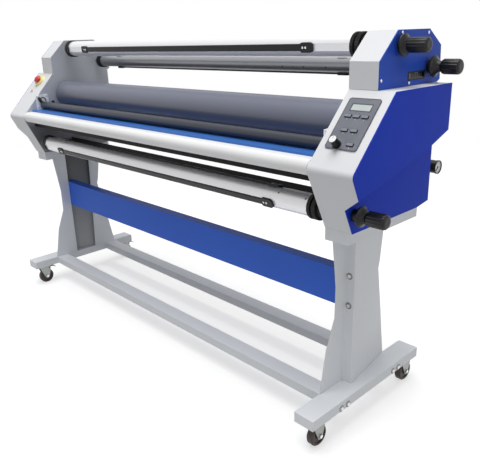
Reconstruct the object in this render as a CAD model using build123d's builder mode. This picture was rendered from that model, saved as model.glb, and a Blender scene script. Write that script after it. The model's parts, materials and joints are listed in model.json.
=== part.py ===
from build123d import *
import math
import os

os.makedirs("parts", exist_ok=True)

# A wide roll laminator on a stand with casters. Lengths are in millimetres.
# X runs along the rollers, to the operator's right. Y runs to the back and Z up.
# The origin lies on the floor, midway between the two feet and halfway along them.

# Overall sizes
inner_span = 1844.0
caster_height = 100.0

# Stand
foot_length = 610.0
foot_width = 78.0
foot_height = 38.0
tube_wall = 3.0
upright_height = 539.0
column_front = -58.0
column_bulge = 40.0
column_room_rear = 111.0
fin_sheet = 3.0
head_length = 380.0
head_width = 86.0
head_height = 39.0
head_back = 27.0
rail_depth = 62.0
rail_height = 36.0
front_rail_middle = -143.5
rear_rail_middle = 158.0
stretcher_lift = 274.0
stretcher_height = 128.0
stretcher_flange = 45.0
stretcher_sheet = 2.0
bolt_head_radius = 6.5
bolt_head_height = 4.0
bolt_lift = 12.0
bolt_half_pitch = 17.0
column_bolt_half_pitch = 52.0

# Casters
wheel_radius = 37.5
wheel_width = 26.0
wheel_trail = 18.0
caster_inset = 47.0
wheel_chamfer = 4.0
hub_boss_radius = 13.0
hub_recess_radius = 27.0
hub_recess_depth = 3.0
fork_sheet = 2.5
fork_gap = 2.0
fork_crown_sheet = 5.0
fork_crown_front = 20.0
fork_eye_radius = 12.0
axle_radius = 5.0
axle_nut_radius = 8.0
axle_nut_height = 4.0
stem_radius = 6.0
stem_length = 14.0
pedal_pin_radius = 3.0
pedal_pin_back = 34.0
pedal_pin_drop = 18.0
pedal_eye_radius = 8.0
pedal_sheet = 4.0
pedal_reach = 38.0
pedal_drop = 10.0
pedal_toe_length = 16.0

# Housing outline, seen from the side
housing_bottom_front = -163.0
housing_bottom_rear = 190.0
housing_rear = 258.0
housing_rear_chamfer = 10.0
nose_front = -253.0
nose_height = 193.0
nose_radius = 20.0
slope_top_front = -63.0
housing_height = 394.0
shell_wall = 2.5
plate_thickness = 4.0
low_cover_reach = 100.0
high_cover_reach = 158.0
cover_thickness = 3.0
bulge_rear = 245.0
fold_start_height = 121.0
fold_bend_back = 135.0
fold_bend_height = 212.0
fold_end_height = 252.0
fold_drop = 47.0
neck_inset = 8.0
neck_half_height = 12.0

# Upper housing, called the cap
cap_reach = 98.0
cap_plate_thickness = 3.0
cap_seam = 0.8
cap_front_height = 78.0
cap_height = 158.0
cap_slope_back = 85.0
cap_top_rear = 192.0
cap_rear_fold = 265.0
cap_rear_fold_drop = 48.0
cap_rear = 272.0
cap_rear_low = 7.0
window_depth = 91.0
window_height = 21.0
window_back = 131.0
window_sink = 1.0
window_rise = 28.5

# Rollers
roller_radius = 65.0
roller_end_gap = 22.0
roller_middle_back = -5.0
nip_height = 226.0
nip_gap = 0.3
journal_radius = 15.0
lift_travel = 25.0
block_width = 84.0
block_height = 70.0
block_thickness = 24.0
roller_bore_radius = 46.0
end_plug = 20.0
shoulder_radius = 24.0
shoulder_gap = 2.0
journal_stub = 20.0
cylinder_radius = 20.0
rod_radius = 6.0
rod_grip = 6.0
gearbox_size = 78.0
gearbox_thickness = 56.0
drive_journal_stub = 8.0
motor_radius = 27.0
motor_length = 120.0

# Core shafts
core_radius = 35.0
thin_core_radius = 28.0
core_journal_radius = 10.0
core_wall = 6.0
journal_overhang = 4.0
top_front_axis_back = 35.0
top_front_axis_rise = 117.0
top_rear_axis_back = 200.0
top_rear_axis_rise = 50.0
lower_front_axis_back = -157.0
lower_front_axis_height = 57.0
hub_length = 45.0
hub_left_gap = 35.0
hub_right_gap = 2.0
hub_rim = 3.5
hub_disc_width = 12.0
hub_groove_width = 6.0
hub_groove_depth = 8.0
strip_width = 22.0
strip_height = 6.0
strip_edge = 2.5
strip_bed = 2.5
strip_inset = 140.0
strip_block_width = 31.0
strip_block_length = 49.0
strip_block_rise = 5.0
strip_block_corner = 9.0

# Knobs
knob_flange_radius = 33.0
knob_flange_width = 11.0
knob_cone_radius = 26.0
knob_cone_length = 12.0
knob_neck_radius = 17.0
knob_neck_length = 23.0
knob_barrel_radius = 23.5
knob_barrel_length = 62.0
knob_shoulder = 8.0
knob_flute_radius = 3.0
knob_flute_depth = 1.2
knob_flute_count = 14
knob_grip_depth = 60.0
top_front_knob_gap = 1.5
top_rear_knob_gap = 9.0
lower_front_knob_gap = 16.0

# Table and beams
table_height = 224.0
table_front = -199.0
table_rear = -74.0
table_sheet = 3.0
table_lip = 12.0
beam_radius = 24.0
beam_middle_back = -223.0
beam_sheet = 2.0
beam_end_gap = 2.5
beam_plug_length = 20.0
tray_front = -195.0
tray_rear = -92.0
tray_height = 143.0
tray_sheet = 3.0
lower_beam_front = -5.0
lower_beam_depth = 80.0
lower_beam_lift = 6.0
lower_beam_height = 56.0
outfeed_front = 66.0
outfeed_rear = 190.0

# Guide bar
guide_radius = 18.0
guide_axis_back = -137.0
guide_axis_height = 245.0
guide_pivot_back = -157.0
guide_pivot_height = 278.0
guide_pin_radius = 5.0
guide_arm_width = 14.0
guide_arm_sheet = 5.0
guide_bracket_sheet = 4.0
guide_bracket_front = 14.0
guide_bracket_rear = 52.0
guide_bracket_top = 19.0
guide_bracket_corner = 6.0

# Control panel, on the sloping front
panel_width = 106.0
panel_length = 171.0
panel_thickness = 3.0
panel_corner = 8.0
panel_middle_out = 76.0
panel_middle_up = 161.5
button_width = 22.0
button_length = 10.0
button_corner = 1.5
button_rise = 3.5
button_travel = 1.5
button_gap = 0.3
button_pitch = 28.0
top_row_up = 23.5
middle_row_half_pitch = 16.0
middle_row_up = -23.5
lower_button_out = 26.0
lower_row_up = -67.5
well_floor = 0.5
display_up = 54.0
display_width = 64.0
display_length = 21.0
display_sink = 1.0
speed_knob_out = -15.0
speed_knob_up = -72.5
speed_knob_radius = 11.5
speed_knob_top_radius = 10.5
speed_knob_height = 27.0
speed_skirt_radius = 13.0
speed_skirt_height = 4.0
speed_shaft_radius = 3.0
speed_flute_radius = 1.2
speed_flute_count = 12

# Emergency stop
stop_base_radius = 31.0
stop_base_top_radius = 28.5
stop_base_edge = 3.0
stop_base_height = 9.0
stop_floor = 1.0
stop_middle_out = 78.0
stop_middle_up = 225.0
stop_stem_radius = 8.0
stop_head_radius = 20.0
stop_head_height = 16.0
stop_head_edge = 2.5
stop_travel = 5.0

# Gauge at the right rear
gauge_radius = 21.5
gauge_rim = 1.5
gauge_rim_width = 6.0
gauge_sink = 3.0
gauge_length = 44.0
gauge_back = 55.0
gauge_up = 112.0
gauge_end_reach = 100.0
regulator_size = 44.0
needle_length = 15.0
needle_width = 3.0
needle_thickness = 1.2
needle_turn = 225.0
needle_boss_radius = 3.0
needle_pin_radius = 2.0
needle_pin_depth = 3.0

# Clearances
running_gap = 0.05
fit_gap = 0.3
shaft_hole_gap = 1.0

# Places worked out from the sizes above
inner_face = inner_span / 2
foot_middle = inner_face + foot_width / 2
foot_outer = inner_face + foot_width
foot_bottom = caster_height
foot_top = foot_bottom + foot_height
head_bottom = foot_top + upright_height
housing_bottom = head_bottom + head_height
housing_top = housing_bottom + housing_height
nose_up = housing_bottom + nose_height
low_face = inner_face + low_cover_reach
high_face = inner_face + high_cover_reach
plate_outer = inner_face + plate_thickness
cap_bottom = housing_top + cap_seam
cap_face = inner_face + cap_reach
cap_top = housing_top + cap_height
top_roller_up = housing_bottom + nip_height + roller_radius
bottom_roller_up = housing_bottom + nip_height - roller_radius
table_top = housing_bottom + table_height
top_front_axis = (top_front_axis_back, housing_top + top_front_axis_rise)
top_rear_axis = (top_rear_axis_back, housing_top + top_rear_axis_rise)
lower_front_axis = (lower_front_axis_back, housing_bottom + lower_front_axis_height)
guide_axis = (guide_axis_back, housing_bottom + guide_axis_height)
guide_pivot = (guide_pivot_back, housing_bottom + guide_pivot_height)
slope_angle = math.degrees(math.atan2(housing_top - nose_up, slope_top_front - nose_front))
side_plane = Plane.YZ


def save(piece, node):
    """Label a finished piece and write it as a STEP file of its own."""
    piece.label = node
    export_step(piece, f"parts/{node}.step")


def front_fold(drop):
    """Where the cover's fold, lowered by drop, meets the leaning front face."""
    lean = (housing_bottom_front - nose_front) / nose_height
    start = housing_bottom + fold_start_height
    start_back = nose_front + (nose_up - start) * lean
    rise = (fold_bend_height - fold_start_height) / (fold_bend_back - start_back)
    up = (start - drop + rise * (nose_front + nose_up * lean - start_back)) / (1 + rise * lean)
    return (nose_front + (nose_up - up) * lean, up)


def slope_plane(out, up):
    """Plane on the sloping front, its origin up the slope from the nose."""
    turn = math.radians(slope_angle)
    start = Vector(out, nose_front, nose_up)
    along = Vector(0, math.cos(turn), math.sin(turn))
    return Plane(origin=start + along * up, x_dir=(1, 0, 0), z_dir=(0, -math.sin(turn), math.cos(turn)))


# Side outlines, shared by the pieces of both housings
with BuildSketch() as housing_outline:
    with BuildLine():
        Polyline(
            (housing_bottom_front, housing_bottom),
            (nose_front, nose_up),
            (slope_top_front, housing_top),
            (housing_rear, housing_top),
            (housing_rear, housing_bottom + housing_rear_chamfer),
            (housing_bottom_rear, housing_bottom),
            close=True,
        )
    make_face()
    fillet(housing_outline.vertices().sort_by(Axis.X)[0], nose_radius)

with BuildSketch() as cap_outline:
    with BuildLine():
        Polyline(
            (slope_top_front, cap_bottom),
            (slope_top_front, housing_top + cap_front_height),
            (slope_top_front + cap_slope_back, cap_top),
            (cap_top_rear, cap_top),
            (cap_rear_fold, cap_top - cap_rear_fold_drop),
            (cap_rear, cap_bottom + cap_rear_low),
            (housing_rear, cap_bottom),
            close=True,
        )
    make_face()


def bulge_outline(drop):
    """Side outline of the bulged upper cover, with its fold lowered by drop."""
    with BuildSketch() as outline:
        with BuildLine():
            Polyline(
                front_fold(drop),
                (nose_front, nose_up),
                (slope_top_front, housing_top),
                (bulge_rear, housing_top),
                (bulge_rear, housing_bottom + fold_end_height - drop),
                (fold_bend_back, housing_bottom + fold_bend_height - drop),
                close=True,
            )
        make_face()
        fillet(outline.vertices().sort_by(Axis.X)[0], nose_radius)
    return outline.sketch_local


def housing_form(skin):
    """The bulged side body, with its outer faces one skin inside the real ones."""
    with BuildPart() as form:
        with BuildSketch(side_plane.offset(inner_face)):
            add(housing_outline.sketch_local)
        extrude(amount=low_face - skin - inner_face)
        with BuildSketch(side_plane.offset(low_face - skin)):
            add(bulge_outline(fold_drop))
        with BuildSketch(side_plane.offset(high_face - skin)):
            add(bulge_outline(0))
        loft(ruled=True)
    return form.part


def turned(axis, outline):
    """A solid turned about an X axis, from (x, radius) points of half its section."""
    with BuildPart() as solid:
        with BuildSketch(Plane.XY):
            with BuildLine():
                Polyline(*outline, close=True)
            make_face()
        revolve(axis=Axis.X)
    return solid.part.moved(Location((0, axis[0], axis[1])))


# Feet: closed rectangular tubes with a hole under each end for the caster's stem
caster_places = (-foot_length / 2 + caster_inset, foot_length / 2 - caster_inset)
with BuildPart() as foot:
    with BuildSketch(Plane.XY.offset(foot_bottom)):
        Rectangle(foot_width, foot_length)
    extrude(amount=foot_height)
    with BuildSketch(Plane.XY.offset(foot_bottom + tube_wall)):
        Rectangle(foot_width - 2 * tube_wall, foot_length - 2 * tube_wall)
    extrude(amount=foot_height - 2 * tube_wall, mode=Mode.SUBTRACT)
    with BuildSketch(Plane.XY.offset(foot_bottom)):
        with Locations(*[(0, y) for y in caster_places]):
            Circle(stem_radius + running_gap)
    extrude(amount=tube_wall, mode=Mode.SUBTRACT)
save(foot.part.moved(Location((-foot_middle, 0, 0))), "left_foot")
save(foot.part.moved(Location((foot_middle, 0, 0))), "right_foot")

# Uprights: fins and a folded column that tapers to the rear, with the head channel welded on top
fin_front_edge = [(-179, 0), (-148, 154), (-107, 254), (-105, 357), (-127, upright_height)]
fin_rear_edge = [(150, upright_height), (125, 386), (117, 361), (153, 186), (187, 0)]
column_top = housing_bottom - fin_sheet
column_rear = fin_rear_edge[-1][0]
taper = (column_bulge - fin_sheet) / (column_rear - column_front)


def column_out(back):
    """How far out the column's tapering face lies, at a distance back."""
    return inner_face + column_bulge - taper * (back - column_front)


with BuildPart() as column:
    with BuildSketch(side_plane.offset(inner_face)):
        with BuildLine():
            Polyline(
                (column_front, foot_top),
                (column_front, column_top),
                (fin_rear_edge[0][0], column_top),
                *[(y, foot_top + z) for y, z in fin_rear_edge],
                close=True,
            )
        make_face()
    extrude(amount=column_bulge)
    with BuildSketch(Plane.XY.offset(foot_top)):
        with BuildLine():
            Polyline(
                (inner_face, column_front),
                (column_out(column_front), column_front),
                (column_out(column_rear), column_rear),
                (inner_face, column_rear),
                close=True,
            )
        make_face()
    extrude(amount=column_top - foot_top, mode=Mode.INTERSECT)
with BuildPart() as right_upright:
    with BuildSketch(side_plane.offset(inner_face)):
        with BuildLine():
            Polyline(*[(y, foot_top + z) for y, z in fin_front_edge + fin_rear_edge], close=True)
        make_face()
    extrude(amount=fin_sheet)
    with BuildSketch(Plane.XY.offset(head_bottom)):
        with Locations((inner_face + head_width / 2, head_back)):
            Rectangle(head_width, head_length)
            Rectangle(head_width - 2 * fin_sheet, head_length - 2 * fin_sheet, mode=Mode.SUBTRACT)
    extrude(amount=head_height)
    with BuildSketch(Plane.XY.offset(column_top)):
        with Locations((inner_face + head_width / 2, head_back)):
            Rectangle(head_width, head_length)
    extrude(amount=fin_sheet)
    add(column.part)
    room_front = column_front + fin_sheet
    with BuildSketch(Plane.XY.offset(foot_top)):
        with BuildLine():
            Polyline(
                (inner_face, room_front),
                (column_out(room_front) - fin_sheet, room_front),
                (column_out(column_room_rear) - fin_sheet, column_room_rear),
                (inner_face, column_room_rear),
                close=True,
            )
        make_face()
    extrude(amount=column_top - foot_top, mode=Mode.SUBTRACT)
save(right_upright.part, "right_upright")
save(mirror(right_upright.part, about=Plane.YZ), "left_upright")

# Lower rails, between the feet
rail_span = inner_span
rail_up = foot_bottom + rail_height / 2
with BuildPart() as lower_rails:
    with BuildSketch(side_plane.offset(-rail_span / 2)):
        with Locations(*[(middle, rail_up) for middle in (front_rail_middle, rear_rail_middle)]):
            Rectangle(rail_depth, rail_height)
            Rectangle(rail_depth - 2 * tube_wall, rail_height - 2 * tube_wall, mode=Mode.SUBTRACT)
    extrude(amount=rail_span)
save(lower_rails.part, "lower_rails")

# Stretcher: a folded panel that ends inside the two columns
stretcher_front = column_front + fin_sheet
stretcher_half = column_out(stretcher_front + stretcher_flange) - fin_sheet - fit_gap
stretcher_middle = foot_top + stretcher_lift + stretcher_height / 2
with BuildPart() as stretcher_panel:
    with BuildSketch(side_plane.offset(-stretcher_half)):
        with Locations((stretcher_front + stretcher_flange / 2, stretcher_middle)):
            Rectangle(stretcher_flange, stretcher_height)
        with Locations((stretcher_front + (stretcher_flange + stretcher_sheet) / 2, stretcher_middle)):
            Rectangle(
                stretcher_flange - stretcher_sheet,
                stretcher_height - 2 * stretcher_sheet,
                mode=Mode.SUBTRACT,
            )
    extrude(amount=2 * stretcher_half)
save(stretcher_panel.part, "stretcher_panel")

# Bolts: four through each foot into the rails, two through each column into the stretcher
with BuildPart() as right_bolts:
    with BuildSketch(side_plane.offset(foot_outer)):
        for rail_middle in (front_rail_middle, rear_rail_middle):
            for step in (-bolt_half_pitch, bolt_half_pitch):
                with Locations((rail_middle + step, foot_bottom + bolt_lift)):
                    RegularPolygon(bolt_head_radius, 6)
    extrude(amount=bolt_head_height)
    with BuildSketch(Plane.XZ.offset(-column_front)):
        for step in (-column_bolt_half_pitch, column_bolt_half_pitch):
            with Locations((inner_face + column_bulge / 2, stretcher_middle + step)):
                RegularPolygon(bolt_head_radius, 6)
    extrude(amount=bolt_head_height)
with BuildPart() as stand_bolts:
    add(right_bolts.part)
    mirror(right_bolts.part, about=Plane.YZ)
save(stand_bolts.part, "stand_bolts")

# Casters: built once about the stem's axis, then placed under each end of each foot
fork_inside = wheel_width + 2 * fork_gap
fork_outside = fork_inside + 2 * fork_sheet
fork_crown_top = foot_bottom - fit_gap
fork_crown_bottom = fork_crown_top - fork_crown_sheet
crown_rear = pedal_pin_back + pedal_eye_radius
wheel_place = (wheel_trail, wheel_radius)
pedal_pin_height = foot_bottom - pedal_pin_drop
pin_place = (pedal_pin_back, pedal_pin_height)
with BuildPart() as caster_fork:
    with BuildSketch(Plane.YZ.offset(-fork_outside / 2)):
        with Locations(((crown_rear - fork_crown_front) / 2, (fork_crown_top + fork_crown_bottom) / 2)):
            Rectangle(crown_rear + fork_crown_front, fork_crown_sheet)
        with Locations(wheel_place):
            Circle(fork_eye_radius)
        with Locations(pin_place):
            Circle(pedal_eye_radius)
        make_hull()
    extrude(amount=fork_outside)
    with BuildSketch(Plane.YZ.offset(-fork_inside / 2)):
        with Locations((wheel_trail, fork_crown_bottom - 2 * wheel_radius)):
            Rectangle(4 * wheel_radius, 4 * wheel_radius)
    extrude(amount=fork_inside, mode=Mode.SUBTRACT)
    with BuildSketch(Plane.YZ.offset(-fork_outside / 2)):
        with Locations(pin_place):
            Circle(pedal_pin_radius + running_gap)
    extrude(amount=fork_outside, mode=Mode.SUBTRACT)
    with BuildSketch(Plane.YZ.offset(-fork_outside / 2)):
        with Locations(wheel_place):
            Circle(axle_radius)
    extrude(amount=fork_outside)
    for start in (-fork_outside / 2 - axle_nut_height, fork_outside / 2):
        with BuildSketch(Plane.YZ.offset(start)):
            with Locations(wheel_place):
                RegularPolygon(axle_nut_radius, 6)
        extrude(amount=axle_nut_height)
    with BuildSketch(Plane.XY.offset(fork_crown_top)):
        Circle(stem_radius)
    extrude(amount=stem_length)
with BuildPart() as caster_wheel:
    with BuildSketch(Plane.XY):
        with BuildLine():
            Polyline(
                (0, axle_radius + running_gap),
                (wheel_width / 2, axle_radius + running_gap),
                (wheel_width / 2, hub_boss_radius),
                (wheel_width / 2 - hub_recess_depth, hub_boss_radius),
                (wheel_width / 2 - hub_recess_depth, hub_recess_radius),
                (wheel_width / 2, hub_recess_radius),
                (wheel_width / 2, wheel_radius - wheel_chamfer),
                (wheel_width / 2 - wheel_chamfer, wheel_radius),
                (0, wheel_radius),
                close=True,
            )
        make_face()
        mirror(about=Plane.YZ)
    revolve(axis=Axis.X)
wheel = caster_wheel.part.moved(Location((0, *wheel_place)))
toe_back = pedal_pin_back + pedal_reach
toe_up = pedal_pin_height + pedal_pin_radius - pedal_drop
with BuildPart() as brake_pedal:
    with BuildSketch(Plane.YZ.offset(-fork_inside / 2 + fit_gap)):
        with Locations(pin_place):
            Circle(pedal_pin_radius + pedal_sheet)
        with BuildLine():
            Polyline(
                (pedal_pin_back, pedal_pin_height + pedal_pin_radius),
                (pedal_pin_back, pedal_pin_height + pedal_pin_radius + pedal_sheet),
                (toe_back - pedal_toe_length, pedal_pin_height + pedal_pin_radius + pedal_sheet),
                (toe_back, toe_up + pedal_sheet),
                (toe_back, toe_up),
                (toe_back - pedal_toe_length, pedal_pin_height + pedal_pin_radius),
                close=True,
            )
        make_face()
    extrude(amount=fork_inside - 2 * fit_gap)
    with BuildSketch(Plane.YZ.offset(-fork_outside / 2)):
        with Locations(pin_place):
            Circle(pedal_pin_radius)
    extrude(amount=fork_outside)
for side, foot_x in (("left", -foot_middle), ("right", foot_middle)):
    for end, caster_y in zip(("front", "rear"), caster_places):
        place = Location((foot_x, caster_y, 0))
        save(caster_fork.part.moved(place), f"{end}_{side}_caster_fork")
        save(wheel.moved(place), f"{end}_{side}_caster_wheel")
        save(brake_pedal.part.moved(place), f"{end}_{side}_brake_pedal")

# Side plates: one steel frame plate at each end, bored for every shaft
plate_inset = shell_wall + fit_gap
neck_middle = (slope_top_front + housing_rear) / 2
neck_depth = housing_rear - slope_top_front - 2 * neck_inset
with BuildSketch() as plate_outline:
    add(housing_outline.sketch_local)
    offset(amount=-plate_inset, kind=Kind.INTERSECTION)
with BuildSketch() as plate_cap_outline:
    add(cap_outline.sketch_local)
    offset(amount=-plate_inset, kind=Kind.INTERSECTION)
with BuildPart() as right_side_plate:
    with BuildSketch(side_plane.offset(inner_face)):
        add(plate_outline.sketch_local)
        add(plate_cap_outline.sketch_local)
        with Locations((neck_middle, housing_top)):
            Rectangle(neck_depth, 2 * neck_half_height)
        with Locations(top_front_axis, top_rear_axis, lower_front_axis):
            Circle(core_journal_radius + running_gap, mode=Mode.SUBTRACT)
        with Locations((roller_middle_back, bottom_roller_up)):
            Circle(journal_radius + running_gap, mode=Mode.SUBTRACT)
        with Locations((roller_middle_back, top_roller_up + lift_travel / 2)):
            SlotCenterToCenter(
                lift_travel, 2 * (journal_radius + fit_gap), rotation=90, mode=Mode.SUBTRACT
            )
    extrude(amount=plate_thickness)
save(right_side_plate.part, "right_side_plate")
save(mirror(right_side_plate.part, about=Plane.YZ), "left_side_plate")

# Housings: folded white shells, open towards the side cover
room_drop = fold_drop + 4 * shell_wall
with BuildPart() as right_housing:
    add(housing_form(cover_thickness))
    with BuildSketch(side_plane.offset(inner_face)):
        add(housing_outline.sketch_local)
        offset(amount=-shell_wall, kind=Kind.INTERSECTION)
    extrude(amount=low_face - inner_face, mode=Mode.SUBTRACT)
    with BuildSketch(side_plane.offset(low_face - cover_thickness)):
        add(bulge_outline(room_drop))
        offset(amount=-shell_wall, kind=Kind.INTERSECTION)
    extrude(amount=high_face - low_face + cover_thickness, mode=Mode.SUBTRACT)
    with BuildSketch(side_plane.offset(inner_face)):
        with Locations((neck_middle, housing_top)):
            Rectangle(neck_depth + 2 * fit_gap, 2 * neck_half_height)
    extrude(amount=plate_thickness + fit_gap, mode=Mode.SUBTRACT)
save(right_housing.part, "right_housing")
save(mirror(right_housing.part, about=Plane.YZ), "left_housing")

# Side covers: blue skins over the housings, bored only where a shaft comes out
with BuildPart() as cover_form:
    add(housing_form(0))
    add(housing_form(cover_thickness), mode=Mode.SUBTRACT)
with BuildPart() as right_side_cover:
    add(cover_form.part)
    with BuildSketch(side_plane.offset(low_face - 2 * cover_thickness)):
        with Locations(lower_front_axis):
            Circle(core_journal_radius + shaft_hole_gap)
    extrude(amount=3 * cover_thickness, mode=Mode.SUBTRACT)
save(right_side_cover.part, "right_side_cover")
save(mirror(cover_form.part, about=Plane.YZ), "left_side_cover")

# Caps and their end plates
with BuildPart() as right_cap:
    with BuildSketch(side_plane.offset(inner_face)):
        add(cap_outline.sketch_local)
        offset(amount=-shell_wall, kind=Kind.INTERSECTION, mode=Mode.SUBTRACT)
    extrude(amount=cap_reach)
    with BuildSketch(side_plane.offset(inner_face)):
        with Locations((neck_middle, housing_top)):
            Rectangle(neck_depth + 2 * fit_gap, 2 * neck_half_height)
    extrude(amount=plate_thickness + fit_gap, mode=Mode.SUBTRACT)
save(right_cap.part, "right_cap")
save(mirror(right_cap.part, about=Plane.YZ), "left_cap")

window_up = housing_top + window_rise
with BuildPart() as cap_plate:
    with BuildSketch(side_plane.offset(cap_face)):
        add(cap_outline.sketch_local)
    extrude(amount=cap_plate_thickness)
with BuildPart() as cap_plates:
    add(cap_plate.part)
    with BuildSketch(side_plane.offset(cap_face)):
        with Locations(top_front_axis, top_rear_axis):
            Circle(core_journal_radius + shaft_hole_gap)
    extrude(amount=cap_plate_thickness, mode=Mode.SUBTRACT)
    with BuildSketch(side_plane.offset(cap_face + cap_plate_thickness - window_sink)):
        with Locations((window_back, window_up)):
            Rectangle(window_depth, window_height)
    extrude(amount=window_sink, mode=Mode.SUBTRACT)
    mirror(cap_plate.part, about=Plane.YZ)
save(cap_plates.part, "cap_plates")

# Front beam: a white bar with a round nose, and a plug in each end that meets the side plate
beam_half = inner_face - beam_end_gap
with BuildSketch() as beam_outline:
    with BuildLine():
        Line((table_front, nose_up + beam_radius), (beam_middle_back, nose_up + beam_radius))
        ThreePointArc(
            (beam_middle_back, nose_up + beam_radius),
            (beam_middle_back - beam_radius, nose_up),
            (beam_middle_back, nose_up - beam_radius),
        )
        Line((beam_middle_back, nose_up - beam_radius), (table_front, nose_up - beam_radius))
        Line((table_front, nose_up - beam_radius), (table_front, nose_up + beam_radius))
    make_face()
with BuildPart() as front_beam:
    with BuildSketch(side_plane.offset(-beam_half)):
        add(beam_outline.sketch_local)
    extrude(amount=2 * beam_half)
    with BuildSketch(side_plane.offset(-beam_half)):
        add(beam_outline.sketch_local)
        offset(amount=-beam_sheet)
    extrude(amount=2 * beam_half, mode=Mode.SUBTRACT)
    for start in (-inner_face, beam_half - beam_plug_length):
        with BuildSketch(side_plane.offset(start)):
            add(beam_outline.sketch_local)
            offset(amount=-beam_sheet)
        extrude(amount=beam_end_gap + beam_plug_length)
save(front_beam.part, "front_beam")

# Feed table: a folded plate between the side plates
with BuildPart() as feed_table:
    with BuildSketch(side_plane.offset(-inner_face)):
        with Locations(((table_front + table_rear) / 2, table_top - table_lip / 2)):
            Rectangle(table_rear - table_front, table_lip)
        with Locations(((table_front + table_rear) / 2, table_top - (table_lip + table_sheet) / 2)):
            Rectangle(
                table_rear - table_front - 2 * table_sheet,
                table_lip - table_sheet,
                mode=Mode.SUBTRACT,
            )
    extrude(amount=inner_span)
save(feed_table.part, "feed_table")

# Cross members: tray bar under the table, angled lower beam, outfeed plate behind the nip
tray_top = table_top - table_lip
tray_bottom = housing_bottom + tray_height
lower_beam_bottom = housing_bottom + lower_beam_lift
with BuildPart() as cross_members:
    with BuildSketch(side_plane.offset(-inner_face)):
        with Locations(((tray_front + tray_rear) / 2, (tray_bottom + tray_top) / 2)):
            Rectangle(tray_rear - tray_front, tray_top - tray_bottom)
        with Locations(((tray_front + tray_rear) / 2, (tray_bottom + tray_top + tray_sheet) / 2)):
            Rectangle(
                tray_rear - tray_front - 2 * tray_sheet,
                tray_top - tray_bottom - tray_sheet,
                mode=Mode.SUBTRACT,
            )
        with Locations((lower_beam_front, lower_beam_bottom)):
            Rectangle(tray_sheet, lower_beam_height, align=Align.MIN)
            Rectangle(lower_beam_depth, tray_sheet, align=Align.MIN)
        with Locations(((outfeed_front + outfeed_rear) / 2, table_top - table_lip / 2)):
            Rectangle(outfeed_rear - outfeed_front, table_lip)
        with Locations(((outfeed_front + outfeed_rear) / 2, table_top - (table_lip + table_sheet) / 2)):
            Rectangle(
                outfeed_rear - outfeed_front - 2 * table_sheet,
                table_lip - table_sheet,
                mode=Mode.SUBTRACT,
            )
    extrude(amount=inner_span)
save(cross_members.part, "cross_members")

# Rollers: rubber covering bonded to a steel core with a journal at each end
covering_radius = roller_radius - nip_gap / 2
roller_half = inner_face - roller_end_gap
shoulder_half = inner_face - shoulder_gap
journal_half = plate_outer + block_thickness + journal_stub
gearbox_start = plate_outer + block_thickness + 2 * fit_gap
drive_end = gearbox_start + gearbox_thickness + drive_journal_stub


def roller(right_end, up):
    """A covered roller about the nip's front-to-back line, at the given height."""
    hollow = turned(
        (roller_middle_back, up),
        [
            (-roller_half + end_plug, 0),
            (-roller_half + end_plug, roller_bore_radius),
            (roller_half - end_plug, roller_bore_radius),
            (roller_half - end_plug, 0),
        ],
    )
    solid = turned(
        (roller_middle_back, up),
        [
            (-journal_half, 0),
            (-journal_half, journal_radius),
            (-shoulder_half, journal_radius),
            (-shoulder_half, shoulder_radius),
            (-roller_half, shoulder_radius),
            (-roller_half, covering_radius),
            (roller_half, covering_radius),
            (roller_half, shoulder_radius),
            (shoulder_half, shoulder_radius),
            (shoulder_half, journal_radius),
            (right_end, journal_radius),
            (right_end, 0),
        ],
    )
    return solid - hollow


save(roller(journal_half, top_roller_up), "top_roller")
save(roller(drive_end, bottom_roller_up), "bottom_roller")


def bearing_blocks(up):
    """A pair of blocks on the outside of the side plates, bored for the journals."""
    with BuildPart() as blocks:
        for start in (plate_outer + fit_gap, -plate_outer - fit_gap - block_thickness):
            with BuildSketch(side_plane.offset(start)):
                with Locations((roller_middle_back, up)):
                    Rectangle(block_width, block_height)
                    Circle(journal_radius + running_gap, mode=Mode.SUBTRACT)
            extrude(amount=block_thickness)
    return blocks.part


save(bearing_blocks(bottom_roller_up), "lower_bearing_blocks")

# Lift cylinders: one above each sliding bearing block, whose rod runs in it
block_top = top_roller_up + block_height / 2
block_middle = plate_outer + fit_gap + block_thickness / 2
cylinder_middle = plate_outer + fit_gap + cylinder_radius
cylinder_bottom = block_top + lift_travel + fit_gap
cylinder_length = housing_top - shell_wall - fit_gap - cylinder_bottom
with BuildPart() as lift_cylinders:
    for middle in (cylinder_middle, -cylinder_middle):
        with BuildSketch(Plane.XY.offset(cylinder_bottom)):
            with Locations((middle, roller_middle_back)):
                Circle(cylinder_radius)
        extrude(amount=cylinder_length)
    for middle in (block_middle, -block_middle):
        with BuildSketch(Plane.XY.offset(cylinder_bottom)):
            with Locations((middle, roller_middle_back)):
                Circle(rod_radius + running_gap)
        extrude(amount=lift_travel + rod_grip + fit_gap, mode=Mode.SUBTRACT)
save(lift_cylinders.part, "lift_cylinders")

with BuildPart() as upper_bearing_blocks:
    add(bearing_blocks(top_roller_up))
    for middle in (block_middle, -block_middle):
        with BuildSketch(Plane.XY.offset(block_top)):
            with Locations((middle, roller_middle_back)):
                Circle(rod_radius)
        extrude(amount=cylinder_bottom + rod_grip - block_top)
save(upper_bearing_blocks.part, "upper_bearing_blocks")

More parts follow.
